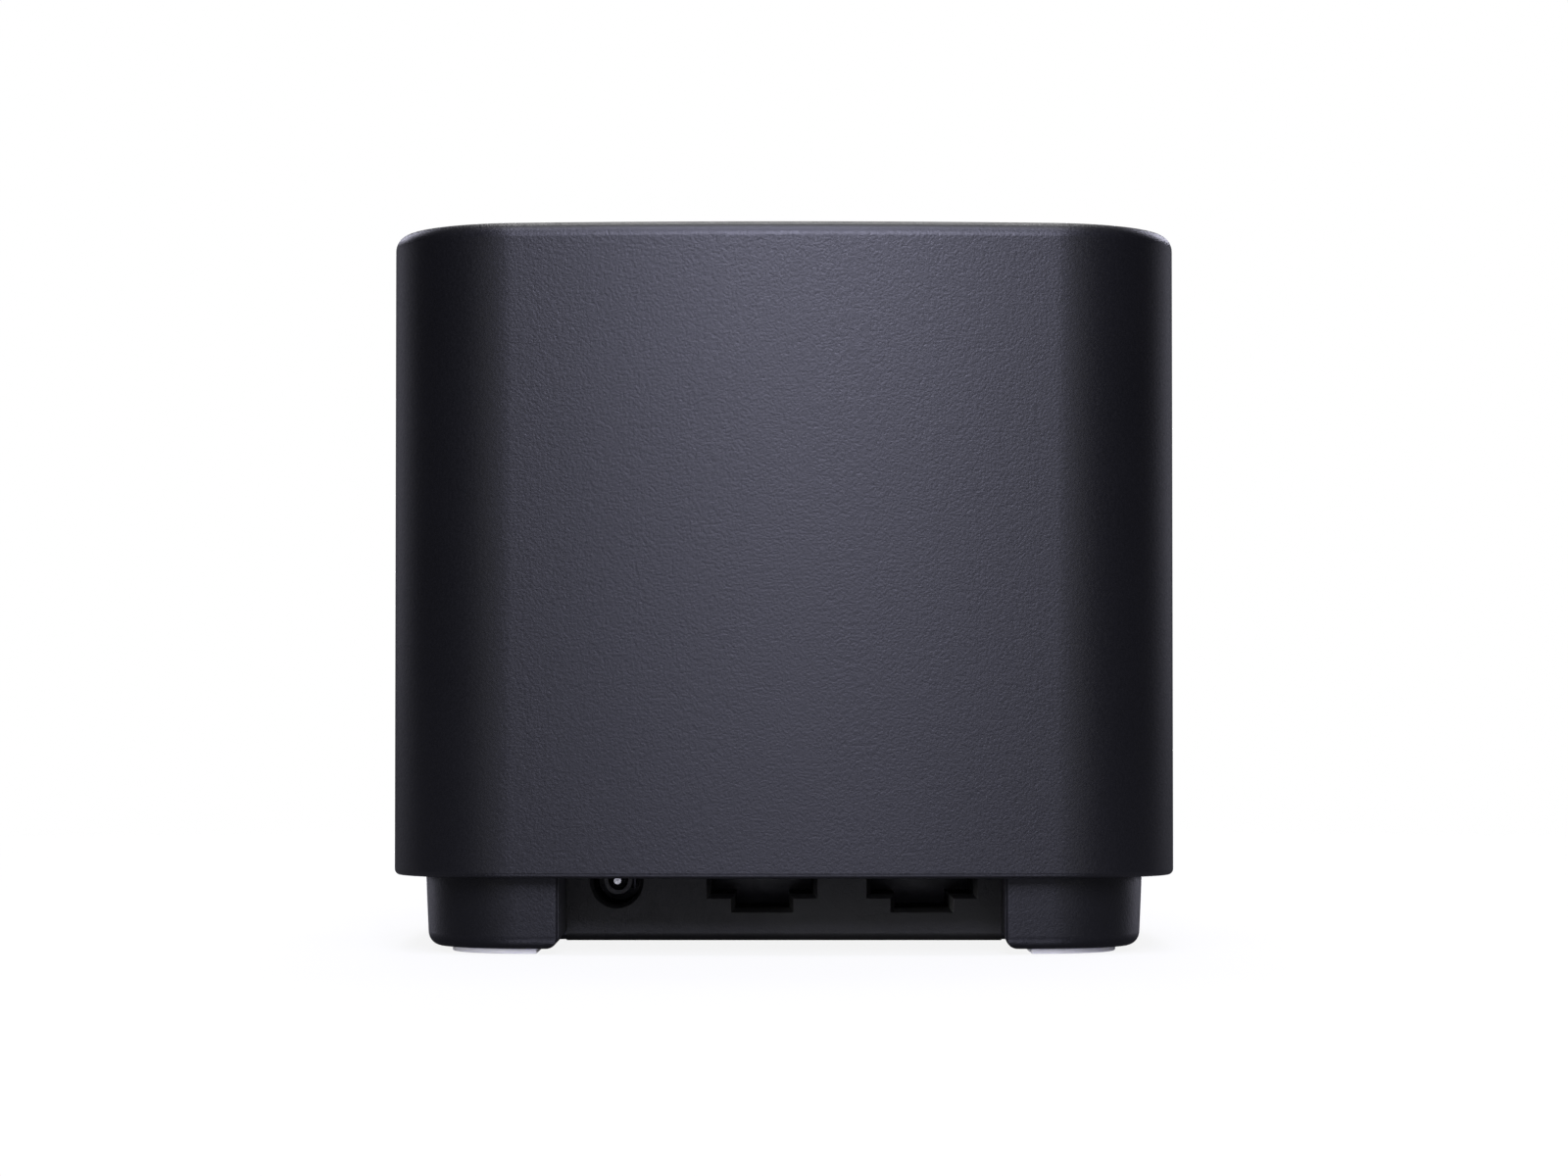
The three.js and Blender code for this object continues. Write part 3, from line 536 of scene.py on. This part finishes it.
# Painted shade: steel darkened far below the pin's, so the leaf deep in the inlet's bore shows no bright
# spot.
SPRING_STEEL_PAINTED_SHADE = brushed_metal("spring_steel_painted_shade", (0.14, 0.14, 0.145), 0.5, "Y")
CONTACT_GOLD = brushed_metal("contact_gold", (0.80, 0.58, 0.24), 0.22, "Y")
THERMAL_BLUE = soft_rubber("thermal_blue", (0.16, 0.28, 0.42), 0.75, 0.05)
LABEL_FILM = moulded_plastic("label_film", (0.028, 0.028, 0.03), 0.32, grain=900.0, strength=0.12)
SWITCH_WHITE = moulded_plastic("switch_white", (0.72, 0.72, 0.69), 0.4, grain=1500.0, strength=0.2,
                               spread=0.04)
LENS = frosted_lens("frosted_lens")


def finish_piece(obj, material, body, slot, *nodes):
    """Gives a piece its material and its body, and hides the CAD nodes it stands for; slot is not used."""
    obj.data.materials.clear()
    obj.data.materials.append(material)
    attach(obj, body)
    if nodes:
        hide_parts(*nodes)


# ---------------------------------------------------------------- shell
def shell_outside():
    """(inset, z) pairs from the middle of the rim's lower edge up to the flat of the top."""
    pairs = list(reversed(round_profile(0, RIM_Z, RIM_ROUND, up=False, steps=5)))
    for share in (0.15, 0.35, 0.55, 0.75, 0.9):
        z = RIM_Z + (TOP_Z - RIM_Z) * share
        pairs.append((SHELL_DRAFT * (z - RIM_Z) / (TOP_Z - RIM_Z), z))
    return pairs + round_profile(SHELL_DRAFT, TOP_Z, TOP_ROUND, up=True, steps=12)


def shell_inside():
    """The same for the room: a small chamfer at the rim, an upright wall and a round to the roof."""
    pairs = [(SHELL_WALL - RIM_ROUND * 0.6, RIM_Z), (SHELL_WALL - RIM_ROUND * 0.2, RIM_Z + RIM_ROUND * 0.25),
             (SHELL_WALL, RIM_Z + RIM_ROUND)]
    roof = TOP_Z - SHELL_ROOF
    return pairs + round_profile(SHELL_WALL + SHELL_DRAFT, roof, ROOM_ROUND, up=True, steps=4)


def make_shell():
    """The cover: a cup with an even wall. Its flat top is more matte than its sides."""
    bm = bmesh.new()
    skins = []
    for pairs in (shell_outside(), shell_inside()):
        skins.append([[bm.verts.new(place) for place in level(outline(inset), z)] for inset, z in pairs])
        join_all(bm, skins[-1])
    outside, inside = skins
    join_rings(bm, inside[0], outside[0])
    cap_with_rings(bm, outside[-1], TOP_Z)
    cap_with_rings(bm, inside[-1], TOP_Z - SHELL_ROOF)
    shell = new_object("shell_cover", bm, 60)
    weight_normals(shell)
    finish_piece(shell, SHELL_BLACK, "enclosure", "shell_plastic", "outer_shell")
    use_second_material(shell, TOP_BLACK, lambda face: face.center.z > TOP_Z - TINY)


# ---------------------------------------------------------------- base
def tray_solid():
    """The tray before it is hollowed: legs on both sides of the cable bay, every lower edge rounded."""
    rings = []
    for shift, z in reversed(round_profile(0, TRAY_LOW_Z, TRAY_ROUND, up=False, steps=8)):
        rings.append(level(notched_outline(TRAY_LOW_INSET, shift=shift), z))
    for z, inset in ((TRAY_MIDDLE_Z, TRAY_MIDDLE_INSET), (FLANGE_Z - 0.05 * MM, TRAY_HIGH_INSET),
                     (FLANGE_Z, FLANGE_INSET), (TRAY_TOP, FLANGE_INSET)):
        rings.append(level(notched_outline(inset), z))
    return solid_of(rings, upwards=True)


def tray_room():
    """Cutter for the tray's inside, which goes round the bay's walls."""
    levels = ((TRAY_FLOOR, TRAY_LOW_INSET), (FLANGE_Z, TRAY_HIGH_INSET), (TRAY_TOP + PAST, TRAY_HIGH_INSET))
    rings = [level(notched_outline(inset + TRAY_WALL, BAY_WALL), z) for z, inset in levels]
    return solid_of(rings, upwards=True)


def disc_cutter(centre, radius, z_high, steps=ROUND_STEPS):
    return prism_z(circle_points(centre, radius, steps), 0, z_high)


def button_cutters():
    """The pairing button's hole with a shallow dish round it, and the reset hole."""
    low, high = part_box("pairing_button")
    button = (low + high) / 2
    hole_radius = (high.x - low.x) / 2 - BUTTON_LIP
    low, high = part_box("reset_plunger")
    reset = (low + high) / 2
    through = TRAY_FLOOR + PAST
    return [disc_cutter(button, hole_radius, through),
            disc_cutter(button, hole_radius + DISH_WIDTH, TRAY_LOW_Z + DISH_DEPTH),
            disc_cutter(reset, RESET_HOLE_RADIUS, through, 32)]


def vent_cutters():
    cutters = []
    for side in (-1, 1):
        for index in range(VENTS_PER_SIDE):
            x = side * (VENT_FIRST_X + index * VENT_PITCH)
            slot = rounded_rectangle(x - VENT_HALF, x + VENT_HALF, *VENT_Y, VENT_HALF - TINY)
            cutters.append(prism_z(slot, 0, TRAY_FLOOR + PAST))
    return cutters


def seat_cutters():
    """Shallow seats for the label and the pads, and the window for the lens."""
    low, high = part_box("rating_label")
    seat = rounded_rectangle(low.x - LABEL_GAP, high.x + LABEL_GAP, low.y - LABEL_GAP, high.y + LABEL_GAP,
                             LABEL_SEAT_ROUND)
    cutters = [prism_z(seat, 0, high.z + LABEL_SEAT_SPARE)]
    for side_x in (-1, 1):
        for side_y in (-1, 1):
            cutters.append(prism_z(pad_outline(side_x, side_y, PAD_GAP), 0, PAD_SEAT_TOP))
    low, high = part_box("light_pipe")
    window = rounded_rectangle(-LENS_WINDOW_HALF, LENS_WINDOW_HALF, low.z - LENS_GAP, high.z + LENS_GAP,
                               LENS_WINDOW_ROUND)
    return cutters + [prism_y(window, *LENS_WINDOW_Y)]


def is_bay_side(face):
    """Whether a face of the base belongs to one of the bay's two side walls."""
    in_bay = abs(face.center.x) < BAY_HALF_END + 0.1 * MM and face.center.y < BAY_END
    return in_bay and abs(face.normal.x) > 0.9


def make_base():
    """The tray with its holes and seats, and the hood over the cable bay."""
    base = new_object("base_cover", tray_solid())
    cut(base, [tray_room()] + button_cutters() + vent_cutters() + seat_cutters())
    half = BAY_HALF_END + BAY_WALL
    cut(base, [box_mesh((-half, BAY_START, BAY_ROOF), (half, BAY_END, BAY_ROOF + BAY_WALL))], "UNION")
    soften(base, 0.18 * MM, 2)
    finish_piece(base, BASE_BLACK, "enclosure", "base_plastic", "base_tray")
    # The bay's side walls take a far lighter copy of the base plastic: painted light for the light that
    # reaches them inside the bay.
    use_second_material(base, BAY_SIDE_PAINTED_LIGHT, is_bay_side)


# ---------------------------------------------------------------- pads
def pad_outline(side_x, side_y, grow=0.0):
    """Corner pad: the node's own outline on its outer side, two straight inner sides."""
    low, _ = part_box("foot_pad_front_right")
    edge = low.x - grow
    inner_round = PAD_ROUND + grow
    inset = PAD_INSET - grow
    reach = SIDE_RADIUS - inset
    start = math.asin(edge / reach)
    points = arc_points((edge + inner_round, edge + inner_round), inner_round, math.pi,
                        math.pi + QUARTER_TURN, SHORT_STEPS, with_last=True)
    points += side_arc(0, reach, start, SIDE_ANGLE, 3)
    points += corner_arc(0, CORNER_RADIUS - inset, 20)
    points += side_arc(1, reach, -SIDE_ANGLE, -start, 3)
    points += [(edge, math.sqrt(reach ** 2 - edge ** 2) - SIDE_OFFSET), (edge, edge + inner_round)]
    points = [(x * side_x, y * side_y) for x, y in points]
    return points if side_x * side_y > 0 else list(reversed(points))


def make_pads():
    low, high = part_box("foot_pad_front_right")
    places = {"rear_left": (-1, -1), "rear_right": (1, -1), "front_left": (-1, 1), "front_right": (1, 1)}
    for place, sides in places.items():
        bm = prism_z(pad_outline(*sides), low.z, high.z)
        bmesh.ops.remove_doubles(bm, verts=bm.verts, dist=2 * TINY)
        pad = new_object(f"pad_{place}", bm)
        soften(pad, 0.14 * MM, 3, 40)
        finish_piece(pad, PAD_GREY, "enclosure", "pad_rubber", f"foot_pad_{place}")


# ---------------------------------------------------------------- port wall
def lan_outline(x, grow):
    """A network socket's mouth about x, made larger by grow on every side."""
    half = LAN_HALF + grow
    notch = LAN_NOTCH_HALF + grow
    low = LAN_LOW - grow
    bottom = LAN_NOTCH_LOW - grow
    top = LAN_HIGH + grow
    return [(x - notch, bottom), (x + notch, bottom), (x + notch, low), (x + half, low), (x + half, top),
            (x - half, top), (x - half, low), (x - notch, low)]


def socket_centres():
    boxes = [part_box(f"ethernet_jack_{index}") for index in (1, 2)]
    return [(low.x + high.x) / 2 for low, high in boxes]


def make_port_panel():
    """Back wall of the cable bay, with bevelled cut-outs for the sockets and a rounded lower edge."""
    face, back = PANEL_LOW.y, PANEL_HIGH.y
    edge_round = 0.9 * MM
    middle = (face + edge_round, PANEL_LOW.z + edge_round)
    section = [(back, PANEL_HIGH.z), (back, PANEL_LOW.z)]
    section += arc_points(middle, edge_round, -QUARTER_TURN, -math.pi, 8, with_last=True)
    section.append((face, PANEL_HIGH.z))
    ends = [[(x, y, z) for y, z in section] for x in (PANEL_LOW.x, PANEL_HIGH.x)]
    panel = new_object("port_wall", solid_of(ends))
    cutters = []
    for x in socket_centres():
        cutters.append(prism_y(lan_outline(x, 2 * TINY), face - PAST, back + PAST))
        cutters.append(tapered_y(lan_outline(x, 2 * LAN_BEVEL), lan_outline(x, 0), face - LAN_BEVEL_DEPTH,
                                 face + LAN_BEVEL_DEPTH))
    hole = circle_points(INLET_CENTRE, INLET_RADIUS + 0.05 * MM)
    mouth_near = circle_points(INLET_CENTRE, INLET_RADIUS + 2 * INLET_BEVEL)
    mouth_far = circle_points(INLET_CENTRE, INLET_RADIUS)
    cutters.append(prism_y(hole, face - PAST, back + PAST))
    cutters.append(tapered_y(mouth_near, mouth_far, face - INLET_BEVEL, face + INLET_BEVEL))
    cut(panel, cutters)
    soften(panel, 0.08 * MM, 2)
    # The port wall takes the lightened copy of the base plastic, painted fill light.
    finish_piece(panel, PANEL_PAINTED_FILL_BLACK, "enclosure", "base_plastic", "port_panel")


# ---------------------------------------------------------------- network sockets
def make_network_sockets():
    """Two socket bodies, each with a chamfered mouth and two grooves along its lower side."""
    mouth_tighter = 0.03 * MM
    chamfer = 0.5 * MM
    groove_half, groove_out, groove_deep = 0.5 * MM, 0.6 * MM, 0.6 * MM
    for index, x in enumerate(socket_centres(), 1):
        low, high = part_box(f"ethernet_jack_{index}")
        jack = new_object(f"socket_body_{index}", box_mesh(low, high))
        mouth = lan_outline(x, -mouth_tighter)
        cutters = [prism_y(mouth, low.y - PAST, low.y + LAN_DEPTH),
                   tapered_y(lan_outline(x, chamfer), mouth, low.y - 0.2 * MM, low.y + chamfer)]
        for side in (-1, 1):
            groove_x = x + side * (LAN_HALF + groove_out)
            cutters.append(box_mesh((groove_x - groove_half, low.y + 4 * MM, low.z - PAST),
                                    (groove_x + groove_half, high.y - 3 * MM, low.z + groove_deep)))
        cut(jack, cutters)
        soften(jack, 0.12 * MM, 2)
        finish_piece(jack, SOCKET_BLACK, "enclosure", "socket_plastic", f"ethernet_jack_{index}")
        make_contacts(index, x)


WIRES = 8
WIRE_PITCH = 1.02 * MM
WIRE_HALF_WIDTH = 0.17 * MM
WIRE_HALF_THICK = 0.14 * MM
# A wire's section, as shares of those halves: a rectangle with its corners cut off.
WIRE_SECTION = ((-1, -0.6), (-0.6, -1), (0.6, -1), (1, -0.6), (1, 0.6), (0.6, 1), (-0.6, 1), (-1, 0.6))


def make_contacts(index, x):
    """Sprung wires, bent over a carrier at the back and rising towards the mouth."""
    low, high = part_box(f"ethernet_contacts_{index}")
    carrier_y = high.y - 1.8 * MM
    route = [(high.y - 0.6 * MM, low.z + 0.25 * MM), (carrier_y - 0.8 * MM, low.z + 0.2 * MM),
             (carrier_y - 1.6 * MM, low.z + 0.32 * MM), (carrier_y - 2.6 * MM, low.z + 0.62 * MM),
             (low.y + 1.6 * MM, high.z - 0.72 * MM), (low.y + 0.7 * MM, high.z - 0.48 * MM),
             (low.y + 0.05 * MM, high.z - 0.34 * MM)]
    bm = bmesh.new()
    for wire in range(WIRES):
        wire_x = x + (wire - (WIRES - 1) / 2) * WIRE_PITCH
        rings = [[bm.verts.new((wire_x + across * WIRE_HALF_WIDTH, y, z + up * WIRE_HALF_THICK))
                  for across, up in WIRE_SECTION] for y, z in route]
        join_all(bm, rings)
        close_ends(bm, rings)
    wires = new_object(f"socket_wires_{index}", bm, 50)
    finish_piece(wires, CONTACT_GOLD, "enclosure", "contact_gold", f"ethernet_contacts_{index}")
    carrier = new_object(f"socket_carrier_{index}",
                         box_mesh((low.x, carrier_y, low.z + 0.55 * MM), (high.x, high.y, high.z)))
    soften(carrier, 0.15 * MM, 2)
    finish_piece(carrier, SOCKET_BLACK, "enclosure", "socket_plastic")


# ---------------------------------------------------------------- power inlet
def make_inlet_body():
    jack = new_object("inlet_body", box_mesh(INLET_LOW, INLET_HIGH))
    pin_hole_radius = 1.1 * MM
    bore = circle_points(INLET_CENTRE, INLET_RADIUS)
    pin_hole = circle_points(INLET_CENTRE, pin_hole_radius, 32)
    cut(jack, [prism_y(bore, INLET_LOW.y - PAST, INLET_LOW.y + INLET_DEPTH),
               prism_y(pin_hole, INLET_LOW.y, INLET_HIGH.y + PAST)])
    soften(jack, 0.15 * MM, 3)
    finish_piece(jack, SOCKET_BLACK, "enclosure", "socket_plastic", "dc_jack")


def make_inlet_pin():
    """Centre pin with a domed tip, and the plastic sleeve that it stands in."""
    low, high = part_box("dc_center_pin")
    centre_x, centre_z = INLET_CENTRE
    radius = (high.x - low.x) / 2
    length = high.y - low.y
    end_round = 0.2 * MM
    profile = [(0, 0), (radius * 0.5, 0.01 * MM), (radius * 0.8, 0.2 * MM), (radius * 0.95, 0.5 * MM),
               (radius, 0.95 * MM), (radius, length - end_round), (radius - end_round, length), (0, length)]
    pin = revolve("inlet_pin", profile, (centre_x, low.y, centre_z), "Y", 32)
    finish_piece(pin, PIN_STEEL, "enclosure", "steel", "dc_center_pin")

    bore, wall, start = 1.15 * MM, 1.7 * MM, 3 * MM
    chamfer = 0.1 * MM
    profile = [(bore, start), (wall - chamfer, start), (wall, start + chamfer), (wall, INLET_DEPTH),
               (bore, INLET_DEPTH), (bore, start)]
    sleeve = revolve("inlet_sleeve", profile, (centre_x, INLET_LOW.y, centre_z), "Y", 48)
    # The sleeve takes the lightened socket plastic, painted light in the bore.
    finish_piece(sleeve, SLEEVE_PAINTED_LIGHT_GREY, "enclosure", "socket_plastic")


def make_inlet_spring():
    """Leaf spring along the bore's right-hand side, bowed towards the pin."""
    low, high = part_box("dc_spring_contact")
    thick = 0.25 * MM
    bow = 0.45 * MM
    behind = 0.2 * MM
    rows = 14
    rings = []
    for row in range(rows + 1):
        share = row / rows
        y = low.y + (high.y - low.y) * share
        x = high.x - behind - bow * math.sin(math.pi * min(share * 1.6, 1.0))
        rings.append([(x, y, low.z), (x + thick, y, low.z), (x + thick, y, high.z), (x, y, high.z)])
    leaf = new_object("inlet_spring", solid_of(rings), 40)
    # The leaf takes the darkened steel, painted shade inside the bore.
    finish_piece(leaf, SPRING_STEEL_PAINTED_SHADE, "enclosure", "steel", "dc_spring_contact")


# ---------------------------------------------------------------- button, light pipe, label
def make_pairing_button():
    """Flat dished cap with a flange above it and a stem up to the switch."""
    low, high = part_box("pairing_button")
    centre = (low + high) / 2
    flange = (high.x - low.x) / 2
    cap = flange - 0.8 * MM
    stem = 2 * MM
    chamfer = 0.1 * MM
    # The two heights of the flange and the top count from the cap's lowest point.
    flange_low = 2.5 * MM - low.z
    flange_high = 2.1 * MM
    top = high.z - low.z
    profile = [(0, 0.22 * MM), (cap * 0.35, 0.2 * MM), (cap * 0.62, 0.12 * MM), (cap * 0.8, 0.02 * MM),
               (cap - 0.35 * MM, 0), (cap - 0.12 * MM, 0.06 * MM), (cap, 0.25 * MM), (cap, flange_low),
               (flange - chamfer, flange_low), (flange, flange_low + chamfer),
               (flange, flange_high - chamfer), (flange - chamfer, flange_high), (stem, flange_high),
               (stem, top), (0, top)]
    button = revolve("pairing_cap", profile, (centre.x, centre.y, low.z), "Z", 96, 40)
    # The cap shares the port wall's lightened plastic, with its painted fill light.
    finish_piece(button, PANEL_PAINTED_FILL_BLACK, "pairing_button", "base_plastic", "pairing_button")


def make_light_pipe():
    """Frosted bar from the board to the front of the base, with a lens set in the wall."""
    low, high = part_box("light_pipe")
    lens_back = high.y - 3.2 * MM
    overlap = 0.5 * MM
    bar_half, bar_low, bar_high, bar_round = 1.8 * MM, 4.3 * MM, 6.3 * MM, 0.5 * MM
    bar = rounded_rectangle(-bar_half, bar_half, bar_low, bar_high, bar_round)
    lens_round = 0.8 * MM
    lens = rounded_rectangle(low.x, high.x, low.z, high.z, lens_round, 8)
    pipe = new_object("light_guide", prism_y(bar, low.y, lens_back + overlap))
    cut(pipe, [prism_y(lens, lens_back, high.y)], "UNION")
    soften(pipe, 0.2 * MM, 3)
    finish_piece(pipe, LENS, "enclosure", "light_lens", "light_pipe")


def make_label():
    """Blank film with a shallow field pressed into it."""
    low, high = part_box("rating_label")
    border, field_round, field_depth = 1.2 * MM, 0.8 * MM, 0.06 * MM
    film = rounded_rectangle(low.x, high.x, low.y, high.y, LABEL_ROUND)
    field = rounded_rectangle(low.x + border, high.x - border, low.y + border, high.y - border, field_round)
    label = new_object("blank_label", prism_z(film, low.z, high.z))
    cut(label, [prism_z(field, low.z - PAST, low.z + field_depth)])
    soften(label, 0.03 * MM, 2)
    finish_piece(label, LABEL_FILM, "enclosure", "label_film", "rating_label")


# ---------------------------------------------------------------- carried-over CAD nodes
CARRIED = {
    FRAME_GREY: ["inner_frame"],
    BOARD_GREEN: ["main_board", "antenna_left", "antenna_right"],
    CHIP_BLACK: ["wifi_processor", "memory_chip", "network_switch_chip", "flash_chip", "lan_transformer_1",
                 "lan_transformer_2", "power_inductor", "pairing_switch", "reset_switch"],
    CABLE_BLACK: ["antenna_cable_left", "antenna_cable_right"],
    SINK_METAL: ["front_heat_sink", "rear_heat_sink", "power_capacitor_1", "power_capacitor_2"],
    STEEL: ["base_screw_1", "base_screw_2", "base_screw_3", "base_screw_4", "heat_sink_screw_1",
            "heat_sink_screw_2", "heat_sink_screw_3", "heat_sink_screw_4", "radio_shield_1",
            "radio_shield_2"],
    THERMAL_BLUE: ["processor_thermal_pad", "radio_thermal_pad_1", "radio_thermal_pad_2"],
    SWITCH_WHITE: ["pairing_plunger", "reset_plunger", "status_led"],
}


def dress_carried_nodes():
    for material, nodes in CARRIED.items():
        for name in nodes:
            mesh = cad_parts[name].data
            mesh.materials.clear()
            mesh.materials.append(material)


# ---------------------------------------------------------------- floor
FLOOR_RADIUS = 0.7
FLOOR_COVER = 0.12  # how much of the white behind it the floor hides, near its middle
FLOOR_FADE = (0.16, 0.62)  # distances from the middle between which it thins out to nothing


def floor_material():
    """Pale matte floor that thins out with distance from the middle."""
    material, tree, shader = new_material("pale_floor")
    nodes, links = tree.nodes, tree.links
    place = nodes.new("ShaderNodeTexCoord")
    length = nodes.new("ShaderNodeVectorMath")
    length.operation = "LENGTH"
    links.new(place.outputs["Object"], length.inputs[0])
    links.new(add_ramp(tree, length.outputs["Value"], FLOOR_COVER, 0.0, *FLOOR_FADE), shader.inputs["Alpha"])
    tone = add_noise(tree, 15.0)
    links.new(add_tint(tree, tone, (0.90, 0.90, 0.90), (0.93, 0.93, 0.93)), shader.inputs["Base Color"])
    shader.inputs["Roughness"].default_value = 0.9
    shader.inputs["Specular IOR Level"].default_value = 0.1
    return material


def make_floor():
    bm = bmesh.new()
    bmesh.ops.create_circle(bm, cap_ends=True, radius=FLOOR_RADIUS, segments=96)
    floor = new_object("floor", bm)
    floor.data.materials.append(floor_material())


# ---------------------------------------------------------------- light
AIM = Vector((0, 0, 40 * MM))
LIGHT_DISTANCE = 1.3
WHITE = (1, 1, 1)
BLUE = (1, 1, 1.33)
PALE_BLUE = (1, 0.99, 1.2)

BASE = ["base_cover"]
REAR_PADS = ["pad_rear_left", "pad_rear_right"]
UNDERSIDE = ["shell_cover", "base_cover", "blank_label", "pairing_cap", "pad_front_left",
             "pad_front_right"] + REAR_PADS
BAY = ["port_wall", "socket_body_1", "socket_body_2", "inlet_body", "inlet_pin", "inlet_sleeve"] + REAR_PADS

# Softboxes aimed at the node. Turn is in degrees from the socket side towards +X, rise in degrees above the
# floor, sizes in metres, power in watts. One with pieces named lights only these; the others light all.
SOFTBOXES = [
    # name, turn, rise, width, height, power, colour, pieces
    ("key", 1, 20, 0.30, 0.42, 7.4, BLUE, None),
    ("key_upper", 3, 35, 0.36, 0.30, 4.6, BLUE, None),
    ("key_top", 0, 64, 0.6, 0.5, 6.4, BLUE, None),
    ("low_left", -33, 5, 0.3, 0.26, 0.3, WHITE, None),
    ("low_right", 30, 5, 0.3, 0.26, 0.35, WHITE, None),
    ("low_middle", 0, 5, 0.26, 0.26, 0.08, BLUE, None),
    ("table_glow", 0, -8, 0.6, 0.2, 0.22, BLUE, None),
    ("rim_left", 225, 6, 0.9, 0.3, 0.28, PALE_BLUE, None),
    ("rim_right", 135, 6, 0.9, 0.3, 0.3, PALE_BLUE, None),
    ("under_glow", 0, -50, 0.8, 0.5, 3.0, BLUE, UNDERSIDE),
    ("bay_fill_left", -52, 3, 0.4, 0.16, 4, WHITE, BAY),
    ("bay_fill_right", 42, 3, 0.4, 0.16, 1, WHITE, BAY),
    ("bay_glow", 0, -10, 0.6, 0.2, 0.4, WHITE, BAY),
    ("leg_glow", 0, -8, 0.6, 0.2, 0.35, WHITE, BASE),
    ("leg_rim_left", 220, 4, 0.4, 0.2, 0.9, PALE_BLUE, BASE),
    ("leg_rim_right", 138, 4, 0.4, 0.2, 1.0, PALE_BLUE, BASE),
    ("pad_fill", 0, 8, 0.6, 0.3, 3.0, WHITE, REAR_PADS),
    ("top_left", 210, 25, 0.4, 0.4, 1.6, PALE_BLUE, None),
    ("top_right", 150, 25, 0.4, 0.4, 2.2, PALE_BLUE, None),
    ("back", 180, 5, 0.4, 0.4, 9.5, PALE_BLUE, None),
    ("overhead", 0, 85, 0.8, 0.8, 3, WHITE, None),
    ("top_back", 180, 60, 0.5, 0.4, 4, WHITE, None),
]


def make_softbox(name, turn, rise, width, height, power, colour, pieces):
    data = bpy.data.lights.new(name, "AREA")
    data.shape = "RECTANGLE"
    data.size = width
    data.size_y = height
    data.energy = power
    data.color = colour
    light = bpy.data.objects.new(name, data)
    turn, rise = math.radians(turn), math.radians(rise)
    reach = LIGHT_DISTANCE * math.cos(rise)
    place = Vector((reach * math.sin(turn), -reach * math.cos(turn), AIM.z + LIGHT_DISTANCE * math.sin(rise)))
    light.location = place
    light.rotation_euler = (AIM - place).to_track_quat("-Z", "Y").to_euler()
    bpy.context.collection.objects.link(light)
    if pieces:
        group = bpy.data.collections.new(name + "_pieces")
        for piece in pieces:
            group.objects.link(bpy.data.objects[piece])
        light.light_linking.receiver_collection = group


def make_world():
    """White for the camera, dim and neutral for the light that reaches the object."""
    world = bpy.data.worlds.new("studio")
    bpy.context.scene.world = world
    world.use_nodes = True
    tree = world.node_tree
    tree.nodes.clear()
    seen = tree.nodes.new("ShaderNodeBackground")
    seen.inputs["Color"].default_value = (1, 1, 1, 1)
    dim = tree.nodes.new("ShaderNodeBackground")
    dim.inputs["Color"].default_value = (1, 1, 1, 1)
    dim.inputs["Strength"].default_value = 0.01
    path = tree.nodes.new("ShaderNodeLightPath")
    mix = tree.nodes.new("ShaderNodeMixShader")
    output = tree.nodes.new("ShaderNodeOutputWorld")
    tree.links.new(path.outputs["Is Camera Ray"], mix.inputs["Fac"])
    tree.links.new(dim.outputs["Background"], mix.inputs[1])
    tree.links.new(seen.outputs["Background"], mix.inputs[2])
    tree.links.new(mix.outputs["Shader"], output.inputs["Surface"])


# ---------------------------------------------------------------- camera
def make_camera():
    """Level with the lower third of the node, straight at the sockets, tipped up by a degree."""
    camera_data = bpy.data.cameras.new("camera")
    camera_data.sensor_width = 36.0
    camera_data.lens = 96.47
    camera_data.shift_y = 0.049
    camera = bpy.data.objects.new("camera", camera_data)
    camera.location = (0, -0.5, 23.4 * MM)
    camera.rotation_euler = (math.radians(90 + 1.04), 0, 0)
    bpy.context.collection.objects.link(camera)
    bpy.context.scene.camera = camera


make_camera()
make_shell()
make_base()
make_pads()
make_port_panel()
make_network_sockets()
make_inlet_body()
make_inlet_pin()
make_inlet_spring()
make_pairing_button()
make_light_pipe()
make_label()
dress_carried_nodes()
make_floor()
for softbox in SOFTBOXES:
    make_softbox(*softbox)
make_world()
bpy.context.scene.view_settings.view_transform = "Standard"
